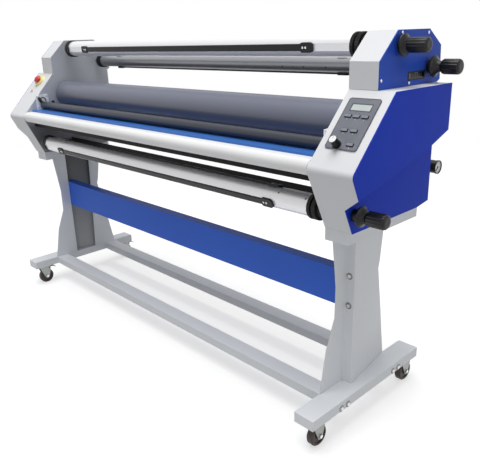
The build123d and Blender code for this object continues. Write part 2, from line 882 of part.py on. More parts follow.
# Drive motor: a hollow-shaft gearbox on the bottom roller's journal, motor to the rear
motor_back = roller_middle_back + gearbox_size / 2
with BuildPart() as drive_motor:
    with BuildSketch(side_plane.offset(gearbox_start)):
        with Locations((roller_middle_back, bottom_roller_up)):
            Rectangle(gearbox_size, gearbox_size)
    extrude(amount=gearbox_thickness)
    with BuildSketch(Plane.XZ.offset(-motor_back)):
        with Locations((gearbox_start + gearbox_thickness / 2, bottom_roller_up)):
            Circle(motor_radius)
    extrude(amount=-motor_length)
    with BuildSketch(side_plane.offset(gearbox_start)):
        with Locations((roller_middle_back, bottom_roller_up)):
            Circle(journal_radius + running_gap)
    extrude(amount=gearbox_thickness, mode=Mode.SUBTRACT)
save(drive_motor.part, "drive_motor")

# Core shafts: a tube with grooves for the grip strips, black hubs and a journal at each end
journal_left_end = -plate_outer - journal_overhang
hub_left = -inner_face + hub_left_gap
tube_left = hub_left + hub_length
hub_right = inner_face - hub_right_gap
tube_right = hub_right - hub_length


def strip_form(axis, radius, angle, start, end, width, edge):
    """A rounded bar standing in a tube's surface, at the given angle about its axis."""
    with BuildPart() as strip:
        with BuildSketch(side_plane.offset(start)) as section:
            with Locations((0, radius - strip_bed + strip_height / 2)):
                Rectangle(width, strip_height)
            fillet(section.vertices().group_by(Axis.Y)[-1], edge)
        extrude(amount=end - start)
    return strip.part.rotate(Axis.X, angle - 90).moved(Location((0, *axis)))


def core_shaft(axis, radius, right_end, strips):
    """A shaft for a film roll core, about the given axis."""
    outline = [
        (journal_left_end, 0),
        (journal_left_end, core_journal_radius),
        (tube_left, core_journal_radius),
        (tube_left, radius),
        (tube_right, radius),
        (tube_right, core_journal_radius),
        (right_end, core_journal_radius),
        (right_end, 0),
    ]
    hollow = [
        (tube_left + end_plug, 0),
        (tube_left + end_plug, radius - core_wall),
        (tube_right - end_plug, radius - core_wall),
        (tube_right - end_plug, 0),
    ]
    with BuildPart() as grooved:
        add(turned(axis, outline))
        add(turned(axis, hollow), mode=Mode.SUBTRACT)
        for angle in strips:
            width = strip_width + 2 * fit_gap
            groove = strip_form(axis, radius, angle, tube_left, tube_right, width, fit_gap)
            add(groove, mode=Mode.SUBTRACT)
    return grooved.part


def strip_block(radius, angle, end, outward):
    """Rounded block that holds one end of a strip, on the tube's surface."""
    with BuildPart() as block:
        with BuildSketch(Plane.XY.offset(radius - strip_block_rise)):
            with Locations((end - outward * strip_block_length / 2, 0)):
                RectangleRounded(strip_block_length, strip_block_width, strip_block_corner)
        extrude(amount=2 * strip_block_rise)
        with BuildSketch(Plane.YZ.offset(end - outward * strip_block_length / 2)):
            Circle(radius)
        extrude(amount=strip_block_length, both=True, mode=Mode.SUBTRACT)
    return block.part.rotate(Axis.X, angle - 90)


def hub_outline(start, end, radius):
    """Half section of a hub with a grooved rim, as (x, radius) points."""
    rim = radius + hub_rim
    groove = rim - hub_groove_depth
    turn = math.copysign(1, end - start)
    return [
        (start, core_journal_radius),
        (start, rim),
        (start + turn * hub_disc_width, rim),
        (start + turn * hub_disc_width, groove),
        (start + turn * (hub_disc_width + hub_groove_width), groove),
        (start + turn * (hub_disc_width + hub_groove_width), rim),
        (end - turn * hub_disc_width, rim),
        (end - turn * hub_disc_width, groove),
        (end, groove),
        (end, core_journal_radius),
    ]


def core_fittings(axis, radius, strips):
    """Hubs, grip strips and their end blocks of one core shaft."""
    with BuildPart() as fittings:
        left, right = tube_left + strip_inset, tube_right - strip_inset
        for angle in strips:
            add(strip_form(axis, radius, angle, left, right, strip_width, strip_edge))
            for end, outward in ((left, -1), (right, 1)):
                add(strip_block(radius, angle, end, outward).moved(Location((0, *axis))))
        add(turned(axis, hub_outline(tube_left, hub_left, radius)))
        add(turned(axis, hub_outline(tube_right, hub_right, radius)))
    return fittings.part


def tension_knob(axis, flange):
    """A fluted knob on a shaft's end, with its bore over the shaft."""
    neck = flange + knob_flange_width
    barrel = neck + knob_neck_length
    end = barrel + knob_barrel_length
    bore = core_journal_radius + running_gap
    bore_end = flange + knob_grip_depth + fit_gap
    rounded_end = [
        (
            end - knob_shoulder * (1 - math.sin(math.radians(turn))),
            knob_barrel_radius - knob_shoulder * (1 - math.cos(math.radians(turn))),
        )
        for turn in (0, 22.5, 45, 67.5, 90)
    ]
    turned_form = turned(
        axis,
        [
            (flange, bore),
            (flange, knob_flange_radius),
            (neck, knob_flange_radius),
            (neck, knob_cone_radius),
            (neck + knob_cone_length, knob_neck_radius),
            (barrel, knob_neck_radius),
            (barrel, knob_barrel_radius),
            *rounded_end,
            (end, 0),
            (bore_end, 0),
            (bore_end, bore),
        ],
    )
    with BuildPart() as knob:
        add(turned_form)
        flute_circle = knob_barrel_radius + knob_flute_radius - knob_flute_depth
        with BuildSketch(side_plane.offset(barrel + knob_shoulder)):
            with Locations(axis):
                with PolarLocations(flute_circle, knob_flute_count):
                    Circle(knob_flute_radius)
        extrude(amount=knob_barrel_length - 2 * knob_shoulder, mode=Mode.SUBTRACT)
    return knob.part


cap_outer = cap_face + cap_plate_thickness
shafts = {
    "top_front": (top_front_axis, core_radius, cap_outer + top_front_knob_gap, (185, 5)),
    "top_rear": (top_rear_axis, thin_core_radius, cap_outer + top_rear_knob_gap, (275, 95)),
    "lower_front": (lower_front_axis, core_radius, low_face + lower_front_knob_gap, (202, 322, 82)),
}
for place, (axis, radius, flange, strips) in shafts.items():
    save(core_shaft(axis, radius, flange + knob_grip_depth, strips), f"{place}_core_shaft")
    save(core_fittings(axis, radius, strips), f"{place}_shaft_fittings")
    save(tension_knob(axis, flange), f"{place}_tension_knob")

# Guide bar on two swing arms, pinned to a bracket at each end
arm_inner = inner_face - guide_bracket_sheet - fit_gap - guide_arm_sheet
with BuildPart() as guide_bar:
    with BuildSketch(side_plane.offset(-arm_inner)):
        with Locations(guide_axis):
            Circle(guide_radius)
    extrude(amount=2 * arm_inner)
    for start in (arm_inner, -arm_inner - guide_arm_sheet):
        with BuildSketch(side_plane.offset(start)):
            with Locations(guide_axis, guide_pivot):
                Circle(guide_arm_width / 2)
            make_hull()
        extrude(amount=guide_arm_sheet)
    for start in (arm_inner, -inner_face):
        with BuildSketch(side_plane.offset(start)):
            with Locations(guide_pivot):
                Circle(guide_pin_radius)
        extrude(amount=inner_face - arm_inner)
save(guide_bar.part, "guide_bar")

bracket_bottom = table_top + fit_gap
with BuildPart() as guide_brackets:
    for start in (inner_face - guide_bracket_sheet, -inner_face):
        with BuildSketch(side_plane.offset(start)):
            with BuildLine():
                Polyline(
                    (guide_pivot_back - guide_bracket_front, bracket_bottom),
                    (guide_pivot_back - guide_bracket_front, guide_pivot[1] + guide_bracket_front),
                    (guide_pivot_back + guide_bracket_rear, guide_pivot[1] + guide_bracket_top),
                    (guide_pivot_back + guide_bracket_rear, guide_pivot[1] - guide_bracket_top),
                    (guide_pivot_back + guide_bracket_front, bracket_bottom),
                    close=True,
                )
            bracket_face = make_face()
            fillet(bracket_face.vertices().group_by(Axis.Y)[-1], guide_bracket_corner)
            with Locations(guide_pivot):
                Circle(guide_pin_radius + running_gap, mode=Mode.SUBTRACT)
        extrude(amount=guide_bracket_sheet)
save(guide_brackets.part, "guide_brackets")

# Control panel: a raised plate on the right slope, with a well under each button
panel_plane = slope_plane(inner_face + panel_middle_out, panel_middle_up)
button_places = {
    "left_top_button": (-button_pitch, top_row_up),
    "middle_top_button": (0, top_row_up),
    "right_top_button": (button_pitch, top_row_up),
    "left_middle_button": (-middle_row_half_pitch, middle_row_up),
    "right_middle_button": (middle_row_half_pitch, middle_row_up),
    "lower_button": (lower_button_out, lower_row_up),
}
speed_knob_place = (speed_knob_out, speed_knob_up)
with BuildPart() as control_panel:
    with BuildSketch(panel_plane):
        RectangleRounded(panel_width, panel_length, panel_corner)
    extrude(amount=panel_thickness)
    with BuildSketch(panel_plane.offset(well_floor)):
        with Locations(*button_places.values()):
            Rectangle(button_width + 2 * button_gap, button_length + 2 * button_gap)
        with Locations(speed_knob_place):
            Circle(speed_shaft_radius + running_gap)
    extrude(amount=panel_thickness - well_floor, mode=Mode.SUBTRACT)
    with BuildSketch(panel_plane.offset(panel_thickness - display_sink)):
        with Locations((0, display_up)):
            Rectangle(display_width, display_length)
    extrude(amount=display_sink, mode=Mode.SUBTRACT)
save(control_panel.part, "control_panel")

button_foot = well_floor + button_travel + fit_gap
for node, button_place in button_places.items():
    with BuildPart() as button:
        with BuildSketch(panel_plane.offset(button_foot)):
            with Locations(button_place):
                RectangleRounded(button_width, button_length, button_corner)
        extrude(amount=button_rise)
    save(button.part, node)


def standing(plane, place, outline):
    """A solid turned about the normal at a place on a plane, from (radius, height) points."""
    with BuildPart() as solid:
        with BuildSketch(Plane.XZ):
            with BuildLine():
                Polyline(*outline, close=True)
            make_face()
        revolve(axis=Axis.Z)
    return solid.part.moved(plane.location * Location((*place, 0)))


# Speed knob: a tapered, fluted body on a thin shaft
skirt_bottom = panel_thickness + fit_gap
skirt_top = skirt_bottom + speed_skirt_height
knob_top = skirt_bottom + speed_knob_height
with BuildPart() as speed_knob:
    add(
        standing(
            panel_plane,
            speed_knob_place,
            [
                (0, well_floor + fit_gap),
                (speed_shaft_radius, well_floor + fit_gap),
                (speed_shaft_radius, skirt_bottom),
                (speed_skirt_radius, skirt_bottom),
                (speed_skirt_radius, skirt_top),
                (speed_knob_radius, skirt_top),
                (speed_knob_top_radius, knob_top),
                (0, knob_top),
            ],
        )
    )
    with BuildSketch(panel_plane.offset(skirt_top)):
        with Locations(speed_knob_place):
            with PolarLocations(speed_knob_radius, speed_flute_count):
                Circle(speed_flute_radius)
    extrude(amount=speed_knob_height, mode=Mode.SUBTRACT)
save(speed_knob.part, "speed_knob")

# Emergency stop on the left slope: a coned base and a mushroom head on a stem
stop_plane = slope_plane(-inner_face - stop_middle_out, stop_middle_up)
stem_hole = stop_stem_radius + running_gap
save(
    standing(
        stop_plane,
        (0, 0),
        [
            (0, 0),
            (stop_base_radius, 0),
            (stop_base_radius, stop_base_edge),
            (stop_base_top_radius, stop_base_height),
            (stem_hole, stop_base_height),
            (stem_hole, stop_floor),
            (0, stop_floor),
        ],
    ),
    "emergency_stop_base",
)
stem_foot = stop_floor + stop_travel + fit_gap
head_foot = stop_base_height + stop_travel + fit_gap
with BuildPart() as emergency_stop_head:
    with BuildSketch(Plane.XZ):
        with BuildLine():
            Polyline(
                (0, head_foot + stop_head_height),
                (0, stem_foot),
                (stop_stem_radius, stem_foot),
                (stop_stem_radius, head_foot),
                (stop_head_radius - stop_head_edge, head_foot),
                (stop_head_radius, head_foot + stop_head_edge),
                (stop_head_radius, head_foot + 2 * stop_head_edge),
            )
            dome_rise = stop_head_height - 2 * stop_head_edge
            dome_radius = (stop_head_radius**2 + dome_rise**2) / (2 * dome_rise)
            RadiusArc(
                (stop_head_radius, head_foot + 2 * stop_head_edge),
                (0, head_foot + stop_head_height),
                -dome_radius,
            )
        make_face()
    revolve(axis=Axis.Z)
save(emergency_stop_head.part.moved(stop_plane.location), "emergency_stop_head")

# Air regulator with its pressure gauge, on the back of the right housing
gauge_axis = (housing_rear + gauge_back, housing_bottom + gauge_up)
gauge_end = inner_face + gauge_end_reach
gauge_start = gauge_end - gauge_length
dial_face = gauge_end - gauge_sink
regulator_back = gauge_back + regulator_size / 2
with BuildPart() as pressure_gauge:
    add(
        turned(
            gauge_axis,
            [
                (gauge_start, 0),
                (gauge_start, gauge_radius),
                (gauge_end - gauge_rim_width, gauge_radius),
                (gauge_end - gauge_rim_width, gauge_radius + gauge_rim),
                (gauge_end, gauge_radius + gauge_rim),
                (gauge_end, gauge_radius - gauge_rim),
                (dial_face, gauge_radius - gauge_rim),
                (dial_face, needle_pin_radius + running_gap),
                (dial_face - needle_pin_depth - fit_gap, needle_pin_radius + running_gap),
                (dial_face - needle_pin_depth - fit_gap, 0),
            ],
        )
    )
    with BuildSketch(side_plane.offset(gauge_start - regulator_size)):
        with Locations((housing_rear + regulator_back / 2, gauge_axis[1])):
            Rectangle(regulator_back, regulator_size)
    extrude(amount=regulator_size)
save(pressure_gauge.part, "pressure_gauge")

with BuildPart() as gauge_needle:
    with BuildSketch(side_plane.offset(dial_face + fit_gap)):
        with Locations(Location(gauge_axis, needle_turn)):
            with Locations((needle_length / 2, 0)):
                Rectangle(needle_length, needle_width)
            Circle(needle_boss_radius)
    extrude(amount=needle_thickness)
    with BuildSketch(side_plane.offset(dial_face - needle_pin_depth)):
        with Locations(gauge_axis):
            Circle(needle_pin_radius)
    extrude(amount=needle_pin_depth + fit_gap)
save(gauge_needle.part, "gauge_needle")
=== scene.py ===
import json
import math

import bmesh
import bpy
import numpy as np
from bpy.props import FloatProperty, FloatVectorProperty, IntProperty, PointerProperty
from mathutils import Matrix, Vector


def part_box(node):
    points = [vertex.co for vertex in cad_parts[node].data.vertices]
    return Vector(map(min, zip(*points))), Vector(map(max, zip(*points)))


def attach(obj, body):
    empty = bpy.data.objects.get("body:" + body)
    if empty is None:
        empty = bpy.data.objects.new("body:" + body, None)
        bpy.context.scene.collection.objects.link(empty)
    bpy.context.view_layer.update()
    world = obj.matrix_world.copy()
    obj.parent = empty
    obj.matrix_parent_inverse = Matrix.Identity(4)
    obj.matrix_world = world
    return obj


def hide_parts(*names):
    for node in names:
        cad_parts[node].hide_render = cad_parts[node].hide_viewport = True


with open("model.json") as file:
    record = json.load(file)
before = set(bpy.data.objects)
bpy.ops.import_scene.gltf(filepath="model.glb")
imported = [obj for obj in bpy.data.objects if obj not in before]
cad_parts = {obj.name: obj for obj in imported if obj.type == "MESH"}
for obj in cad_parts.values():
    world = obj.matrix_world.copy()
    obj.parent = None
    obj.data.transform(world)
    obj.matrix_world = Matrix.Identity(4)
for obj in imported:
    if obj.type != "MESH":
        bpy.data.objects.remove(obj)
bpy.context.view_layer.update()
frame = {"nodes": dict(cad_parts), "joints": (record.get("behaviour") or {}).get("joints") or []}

bl_info = {
    "name": "Roll laminator finish",
    "version": (1, 0, 0),
    "blender": (4, 5, 0),
    "location": "3D View > Sidebar > Laminator",
    "description": "Finishes, fittings, camera and light for a wide roll laminator",
    "category": "Object",
}


# Sizes and colours that a user would change

def colour(name, description, default):
    """A colour property with the given name and default."""
    return FloatVectorProperty(
        name=name, description=description, default=default, size=3, min=0, max=1, subtype="COLOR"
    )


def number(name, description, default, **kind):
    """A number property, with a unit or subtype where one fits."""
    return FloatProperty(name=name, description=description, default=default, **kind)


def length(name, description, default):
    """A length property in metres."""
    return number(name, description, default, min=0, unit="LENGTH")


def angle(name, description, degrees):
    """An angle property, given in degrees."""
    return number(name, description, math.radians(degrees), subtype="ANGLE")


def whole(name, description, default, least):
    """A whole number property with a lower limit."""
    return IntProperty(name=name, description=description, default=default, min=least)


class PaintSettings(bpy.types.PropertyGroup):
    """Colours of the painted, rubber and plastic surfaces."""

    stand: colour("Stand", "Grey powder coat of the stand", (0.77, 0.79, 0.815))
    blue: colour("Blue covers", "Powder coat of the side covers", (0.014, 0.048, 0.50))
    stretcher: colour("Stretcher", "Powder coat of the stretcher panel", (0.060, 0.165, 0.72))
    end_plate: colour("End plates", "Powder coat of the plates on the caps", (0.024, 0.080, 0.48))
    table: colour("Feed table", "Powder coat of the feed table", (0.045, 0.16, 0.50))
    white: colour("White shells", "Powder coat of the housings and caps", (0.735, 0.74, 0.76))
    beam: colour("Front beam", "Powder coat of the front beam", (0.84, 0.84, 0.84))
    plate: colour("Side plates", "Paint of the inner side plates", (0.50, 0.52, 0.57))
    black: colour("Black steel", "Powder coat of the bars between the side plates", (0.012, 0.012, 0.013))
    rubber: colour("Roller covering", "Silicone rubber of the nip rollers", (0.160, 0.170, 0.225))
    plastic: colour("Black plastic", "Knobs, hubs and pedals", (0.010, 0.010, 0.011))
    bar: colour("Guide bar", "Dark anodised guide bar", (0.034, 0.038, 0.052))
    bracket: colour("Guide brackets", "Plating of the guide brackets", (0.95, 0.96, 0.97))
    panel: colour("Control panel", "Membrane of the control panel", (0.155, 0.165, 0.195))
    key_face: colour("Key faces", "Faces of the panel's buttons", (0.22, 0.23, 0.27))
    display: colour("Display", "Glass of the display window", (0.52, 0.56, 0.56))
    stop_head: colour("Stop head", "Mushroom head of the emergency stop", (0.60, 0.045, 0.06))
    stop_base: colour("Stop base", "Base of the emergency stop", (0.84, 0.79, 0.30))
    front_tube: colour("Top front tube", "Anodised tube of the top front shaft", (0.86, 0.86, 0.88))
    rear_tube: colour("Top rear tube", "Steel tube of the top rear shaft", (0.30, 0.31, 0.33))
    lower_tube: colour("Lower tube", "Anodised tube of the lower shaft", (0.93, 0.93, 0.95))


class FittingSettings(bpy.types.PropertyGroup):
    """Sizes of the small fittings."""

    screw_radius: length("Screw radius", "Radius of the cover screws' heads", 0.0046)
    screw_height: length("Screw height", "Height of the cover screws' heads", 0.0020)
    strip_screw_radius: length("Strip screw radius", "Radius of the screws in the strip blocks", 0.0034)
    tube_screw_radius: length("Tube screw radius", "Radius of the set screws in the tubes", 0.0030)
    washer_radius: length("Washer radius", "Radius of the washers under the stand's bolts", 0.0115)
    washer_height: length("Washer height", "Thickness of those washers", 0.0016)
    edge_radius: length("Folded edge radius", "Rounding of the folded sheet edges", 0.0016)
    knurl_depth: length("Knurl depth", "Depth of the knurling on the core hubs", 0.0014)
    knurl_count: whole("Knurls", "Ridges round a core hub", 60, 12)
    flange_radius: length("Knob flange radius", "Radius of the tension knobs' flanges", 0.0312)
    flute_depth: length("Flute depth", "Depth of the flutes on the tension knobs", 0.0016)
    flute_count: whole("Flutes", "Flutes round a tension knob", 14, 6)
    dial_ticks: whole("Dial ticks", "Ticks round the speed knob", 11, 3)
    gauge_ticks: whole("Gauge ticks", "Ticks on the gauge's dial", 13, 3)


class StageSettings(bpy.types.PropertyGroup):
    """Camera, light and floor."""

    camera_place: FloatVectorProperty(
        name="Camera place", description="Where the camera stands", default=(1.931, -1.451, 1.272),
        size=3, subtype="TRANSLATION", unit="LENGTH",
    )
    camera_yaw: angle("Yaw", "Turn from straight back towards the left", 47.01)
    camera_pitch: angle("Pitch", "Tilt below level", 18.96)
    camera_roll: angle("Roll", "Roll about the line of sight", -1.99)
    lens: number("Lens", "Focal length for a 36 mm sensor", 42.855, unit="CAMERA")
    world_level: number("World level", "Strength of the even room light", 0.265)
    top_power: number("Top lamp", "Power of the wide lamp overhead", 590.0)
    front_power: number("Front lamp", "Power of the lamp at the front right", 6.5)
    right_power: number("Right lamp", "Power of the lamp at the right", 12.0)
    floor_colour: colour("Floor", "Colour of the floor", (0.58, 0.58, 0.58))
    floor_lift: number("Floor lift", "White added where the floor is seen", 0.58)


# Shader maths as Python expressions

EVEN = (1.0, 1.0, 1.0)


class Value:
    """A node's output, with operators that add Math nodes to its tree."""

    def __init__(self, nodes, socket):
        self.nodes = nodes
        self.socket = socket

    def math(self, operation, *values):
        """A Math node on the values."""
        return self.nodes.node("ShaderNodeMath", {"operation": operation}, dict(enumerate(values)))

    def __add__(self, other):
        return self.math("ADD", self, other)

    __radd__ = __add__

    def __sub__(self, other):
        return self.math("SUBTRACT", self, other)

    def __rsub__(self, other):
        return self.math("SUBTRACT", other, self)

    def __mul__(self, other):
        return self.math("MULTIPLY", self, other)

    __rmul__ = __mul__

    def larger(self, other):
        """The larger of this value and another."""
        return self.math("MAXIMUM", self, other)

    def clamped(self):
        """The value held between 0 and 1."""
        return self.math("MINIMUM", self.larger(0.0), 1.0)

    def size(self):
        """The value without its sign."""
        return self.math("ABSOLUTE", self)

    def beyond(self, limit, softness=0.001):
        """0 below the limit and 1 above it, with a soft step."""
        return ((self - limit) * (1 / softness) + 0.5).clamped()


class Nodes:
    """A node tree, whose nodes all come from one method."""

    def __init__(self, tree):
        self.tree = tree

    def feed(self, socket, value):
        """Link a value to a socket, or set the socket to a plain number or colour."""
        if isinstance(value, Value):
            self.tree.links.new(value.socket, socket)
        else:
            socket.default_value = value

    def node(self, kind, settings, inputs, output=0):
        """A node of the given type: settings first, then its sockets, then one of its outputs."""
        node = self.tree.nodes.new(kind)
        for setting, value in settings.items():
            setattr(node, setting, value)
        for socket, value in inputs.items():
            self.feed(node.inputs[socket], value)
        return Value(self, node.outputs[output])

    def white_where_seen(self, plain, white):
        """The white shader for camera, glossy and transmission rays, and the plain one for the rest."""
        camera, glossy, through = (
            self.node("ShaderNodeLightPath", {}, {}, f"Is {ray} Ray")
            for ray in ("Camera", "Glossy", "Transmission")
        )
        seen = camera.larger(glossy).larger(through)
        return self.node("ShaderNodeMixShader", {}, {0: seen, 1: plain, 2: white})


class Finish(Nodes):
    """A material on the Principled shader, built from values and expressions."""

    def __init__(self, name, base, roughness, metallic=0.0, specular=0.25):
        self.material = bpy.data.materials.new(name)
        self.material.use_nodes = True
        super().__init__(self.material.node_tree)
        self.shader = self.tree.nodes["Principled BSDF"]
        self.base = tuple(base)
        self.surface("Base Color", (*self.base, 1.0))
        self.surface("Roughness", roughness)
        self.surface("Metallic", metallic)
        self.surface("Specular IOR Level", specular)
        self.place = self.node("ShaderNodeTexCoord", {}, {}, "Object")

    def surface(self, socket, value):
        """Feed one of the shader's own sockets."""
        self.feed(self.shader.inputs[socket], value)

    def noise(self, scale, detail, stretch=EVEN):
        """Soft noise on the piece's own coordinates, stretched along an axis if asked."""
        spread = self.node("ShaderNodeMapping", {}, {"Vector": self.place, "Scale": stretch})
        inputs = {"Vector": spread, "Scale": scale, "Detail": detail}
        return self.node("ShaderNodeTexNoise", {}, inputs, "Fac")

    def blend(self, factor, first, second):
        """A colour between two others."""
        ends = [end if isinstance(end, Value) else (*end, 1.0) for end in (first, second)]
        inputs = {0: factor, 6: ends[0], 7: ends[1]}
        return self.node("ShaderNodeMix", {"data_type": "RGBA"}, inputs, 2)

    def vary(self, amount, scale, stretch=EVEN):
        """Lighten and darken the base colour softly over the piece."""
        light = [min(1.0, part * (1 + amount)) for part in self.base]
        dark = [part * (1 - amount) for part in self.base]
        contrast = 2.2
        shade = self.noise(scale, 3.0, stretch)
        mix = self.blend(((shade - 0.5) * contrast + 0.5).clamped(), dark, light)
        self.surface("Base Color", mix)
        return mix

    def relief(self, scale, detail, strength, distance, stretch=EVEN):
        """Bump the surface by noise."""
        height = self.noise(scale, detail, stretch)
        inputs = {"Height": height, "Strength": strength, "Distance": distance}
        self.surface("Normal", self.node("ShaderNodeBump", {}, inputs))

    def gloss(self, middle, spread, scale, stretch=EVEN):
        """Vary the roughness about a middle value."""
        rough = self.noise(scale, 4.0, stretch) * (2 * spread) + (middle - spread)
        self.surface("Roughness", rough)

    def across(self, axis):
        """A coordinate of the surface along X, Y or Z, in metres."""
        return self.node("ShaderNodeSeparateXYZ", {}, {"Vector": self.place}, axis)


def powder_coat(name, base, roughness=0.42, grain=650.0, dust=0.05, shine=0.25, painted_shade=None):
    """Powder coat: fine orange peel, a little uneven, with dust where it faces up. The mask function
    given last marks places in shade, where painted shade darkens the colour to a tenth."""
    finish = Finish(name, base, roughness, specular=shine)
    mix = finish.vary(0.035, 2.5)
    facing = finish.node("ShaderNodeNewGeometry", {}, {}, "Normal")
    up = finish.node("ShaderNodeSeparateXYZ", {}, {"Vector": facing}, "Z").clamped()
    cloud = finish.noise(14.0, 4.0)
    pale = [min(1.0, part * 0.8 + 0.14) for part in base]
    coat = finish.blend((up * cloud * dust * 2).clamped(), mix, pale)
    if painted_shade:
        # Painted shade: where the mask is 1, the colour falls to a tenth of the base.
        coat = finish.blend(painted_shade(finish), coat, [part * 0.10 for part in base])
    finish.surface("Base Color", coat)
    finish.gloss(roughness, 0.05, 60.0)
    finish.relief(grain, 2.0, 0.10, 0.0004)
    return finish.material


def rubber(name, base, roughness, worn):
    """Rubber: matt, lightly ground, with a pale bloom in places."""
    finish = Finish(name, base, roughness, specular=0.42)
    mix = finish.vary(0.10, 9.0)
    bloom = [part * 0.7 + 0.10 for part in base]
    patches = ((finish.noise(30.0, 5.0) - 0.55) * (3.0 * worn)).clamped()
    finish.surface("Base Color", finish.blend(patches, mix, bloom))
    finish.gloss(roughness, 0.06, 70.0)
    finish.relief(500.0, 2.0, 0.10, 0.0003)
    return finish.material


def covered_roller(name, base, half):
    """Ground silicone rubber, with a steel core showing beyond half the covering's length."""
    roughness, lengthwise = 0.32, (0.05, 1.0, 1.0)
    finish = Finish(name, base, roughness, specular=0.45)
    mix = finish.vary(0.06, 9.0, lengthwise)
    steel = finish.across("X").size().beyond(half)
    finish.surface("Base Color", finish.blend(steel, mix, (0.42, 0.43, 0.45)))
    finish.surface("Metallic", steel)
    finish.gloss(roughness, 0.04, 60.0, lengthwise)
    finish.relief(420.0, 2.0, 0.06, 0.0002, lengthwise)
    return finish.material


def textured(name, base, roughness, clouds, shine, grain=None, metal=0.0, specular=0.25, stretch=EVEN):
    """A material that varies with noise. The clouds are its colour's amount and scale, the shine its
    roughness's spread and scale, and the grain its relief's scale, detail, strength and distance."""
    finish = Finish(name, base, roughness, metal, specular)
    finish.vary(*clouds, stretch)
    finish.gloss(roughness, *shine, stretch)
    if grain:
        finish.relief(*grain, stretch)
    return finish.material


def ground_metal(name, base, roughness, stretch):
    """Metal with fine grinding lines along one axis."""
    grain = (180.0, 3.0, 0.12, 0.0003)
    return textured(name, base, roughness, (0.05, 6.0), (0.09, 90.0), grain, 1.0, 0.5, stretch)


def zinc_plate(name, base, roughness=0.38):
    """Zinc plating: faint cloudy patches with a soft shine."""
    grain = (400.0, 2.0, 0.08, 0.0003)
    return textured(name, base, roughness, (0.10, 45.0), (0.10, 120.0), grain, 0.9, 0.5)


def moulded(name, base, roughness=0.45, scale=900.0, strength=0.18):
    """Moulded plastic with a fine spark texture."""
    grain = (scale, 1.0, strength, 0.0004)
    return textured(name, base, roughness, (0.12, 20.0), (0.07, 150.0), grain)


def tube_metal(name, base, metal, roughness):
    """Drawn and anodised tube: faint lines along its length."""
    grain, stretch = (320.0, 2.0, 0.07, 0.0002), (0.03, 1.0, 1.0)
    return textured(name, base, roughness, (0.04, 6.0), (0.06, 80.0), grain, metal, 0.4, stretch)


def glass(name, base):
    """Dark or frosted window glass over whatever is printed behind it, with faint smears."""
    return textured(name, base, 0.12, (0.05, 25.0), (0.04, 40.0), specular=0.6)


def enamel(name, base, roughness=0.35):
    """Plain printed or dipped enamel on a small piece."""
    return textured(name, base, roughness, (0.05, 60.0), (0.05, 200.0))


# Places and meshes

def basis(origin, across, along, out):
    """A place: its three unit axes and its origin as the columns of a matrix."""
    place = np.eye(4)
    place[:3] = np.column_stack((across, along, out, origin))
    return place


def along_x(x, y, z, right=True):
    """A place whose outward axis points along X, to the right or to the left."""
    way = 1 if right else -1
    return basis((x, y, z), (0, way, 0), (0, 0, 1), (way, 0, 0))


def moved(points, place):
    """Points of any array shape, carried to a place."""
    return points @ place[:3, :3].T + place[:3, 3]


def linked(name, patches):
    """A new object in the scene from grids of points, with a quad between every four neighbours."""
    points, faces, count = [], [], 0
    for patch in patches:
        index = count + np.arange(patch[..., 0].size).reshape(patch.shape[:2])
        corners = (index[:-1, :-1], index[1:, :-1], index[1:, 1:], index[:-1, 1:])
        faces.append(np.stack(corners, -1).reshape(-1, 4))
        points.append(patch.reshape(-1, 3))
        count += index.size
    mesh = bpy.data.meshes.new(name)
    mesh.from_pydata(np.concatenate(points).tolist(), [], np.concatenate(faces).tolist())
    made = bpy.data.objects.new(name, mesh)
    bpy.context.scene.collection.objects.link(made)
    return made


def piece(name, patches, material, body="frame", smooth=35.0):
    """One object from grids of points, with its doubles merged and its faces turned outwards."""
    made = linked(name, patches)
    mesh = made.data
    solid = bmesh.new()
    solid.from_mesh(mesh)
    bmesh.ops.remove_doubles(solid, verts=solid.verts, dist=1e-6)
    bmesh.ops.dissolve_degenerate(solid, edges=solid.edges, dist=1e-7)
    bmesh.ops.recalc_face_normals(solid, faces=solid.faces)
    solid.to_mesh(mesh)
    solid.free()
    mesh.shade_smooth()
    mesh.set_sharp_from_angle(angle=math.radians(smooth))
    mesh.materials.append(material)
    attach(made, body)
    return made


def lathe(profile, segments=32, ripple=None):
    """A turned surface: each (radius, height) point swept round Z. A ripple of the angle, the radius
    and the height adds to the radius."""
    turn = np.linspace(0, 2 * math.pi, segments + 1)
    radius, height = np.array(profile, float).T[..., None] * np.ones(segments + 1)
    if ripple:
        radius = radius + ripple(turn, radius, height)
    return np.stack((radius * np.cos(turn), radius * np.sin(turn), height), -1)


def rounded_rings(width, height, corner, section):
    """Rings round a rounded rectangle, one for each offset and lift of the section: each outline point
    moves along the outline's normal by the offset and up by the lift, and no offset is the middle."""
    count = 4 * CORNER_STEPS
    turn = np.linspace(0, 2 * math.pi, count + 1)[:-1] + math.pi / count
    out = np.stack((np.cos(turn), np.sin(turn)), -1)
    middle = np.sign(out) * (np.array((width, height)) / 2 - corner)
    rings = []
    for offset, lift in section:
        flat = np.zeros_like(out) if offset is None else middle + (corner + offset) * out
        rings.append(np.column_stack((flat, np.full(count, lift))))
    grid = np.array(rings)
    return np.concatenate((grid, grid[:, :1]), axis=1)


def slab(width, height, thickness, corner):
    """A rounded rectangle's outline lifted to a thickness, closed at both faces, top edge broken."""
    edge = min(0.3 * thickness, 0.5 * corner)
    section = ((None, 0), (0, 0), (0, thickness - edge), (-edge, thickness), (None, thickness))
    return rounded_rings(width, height, corner, section)


def frame_band(width, height, corner, band, rise):
    """A closed rectangular section, a band wide and a rise high, carried round a rounded rectangle."""
    section = ((0, 0), (0, rise), (-band, rise), (-band, 0), (0, 0))
    return rounded_rings(width, height, corner, section)


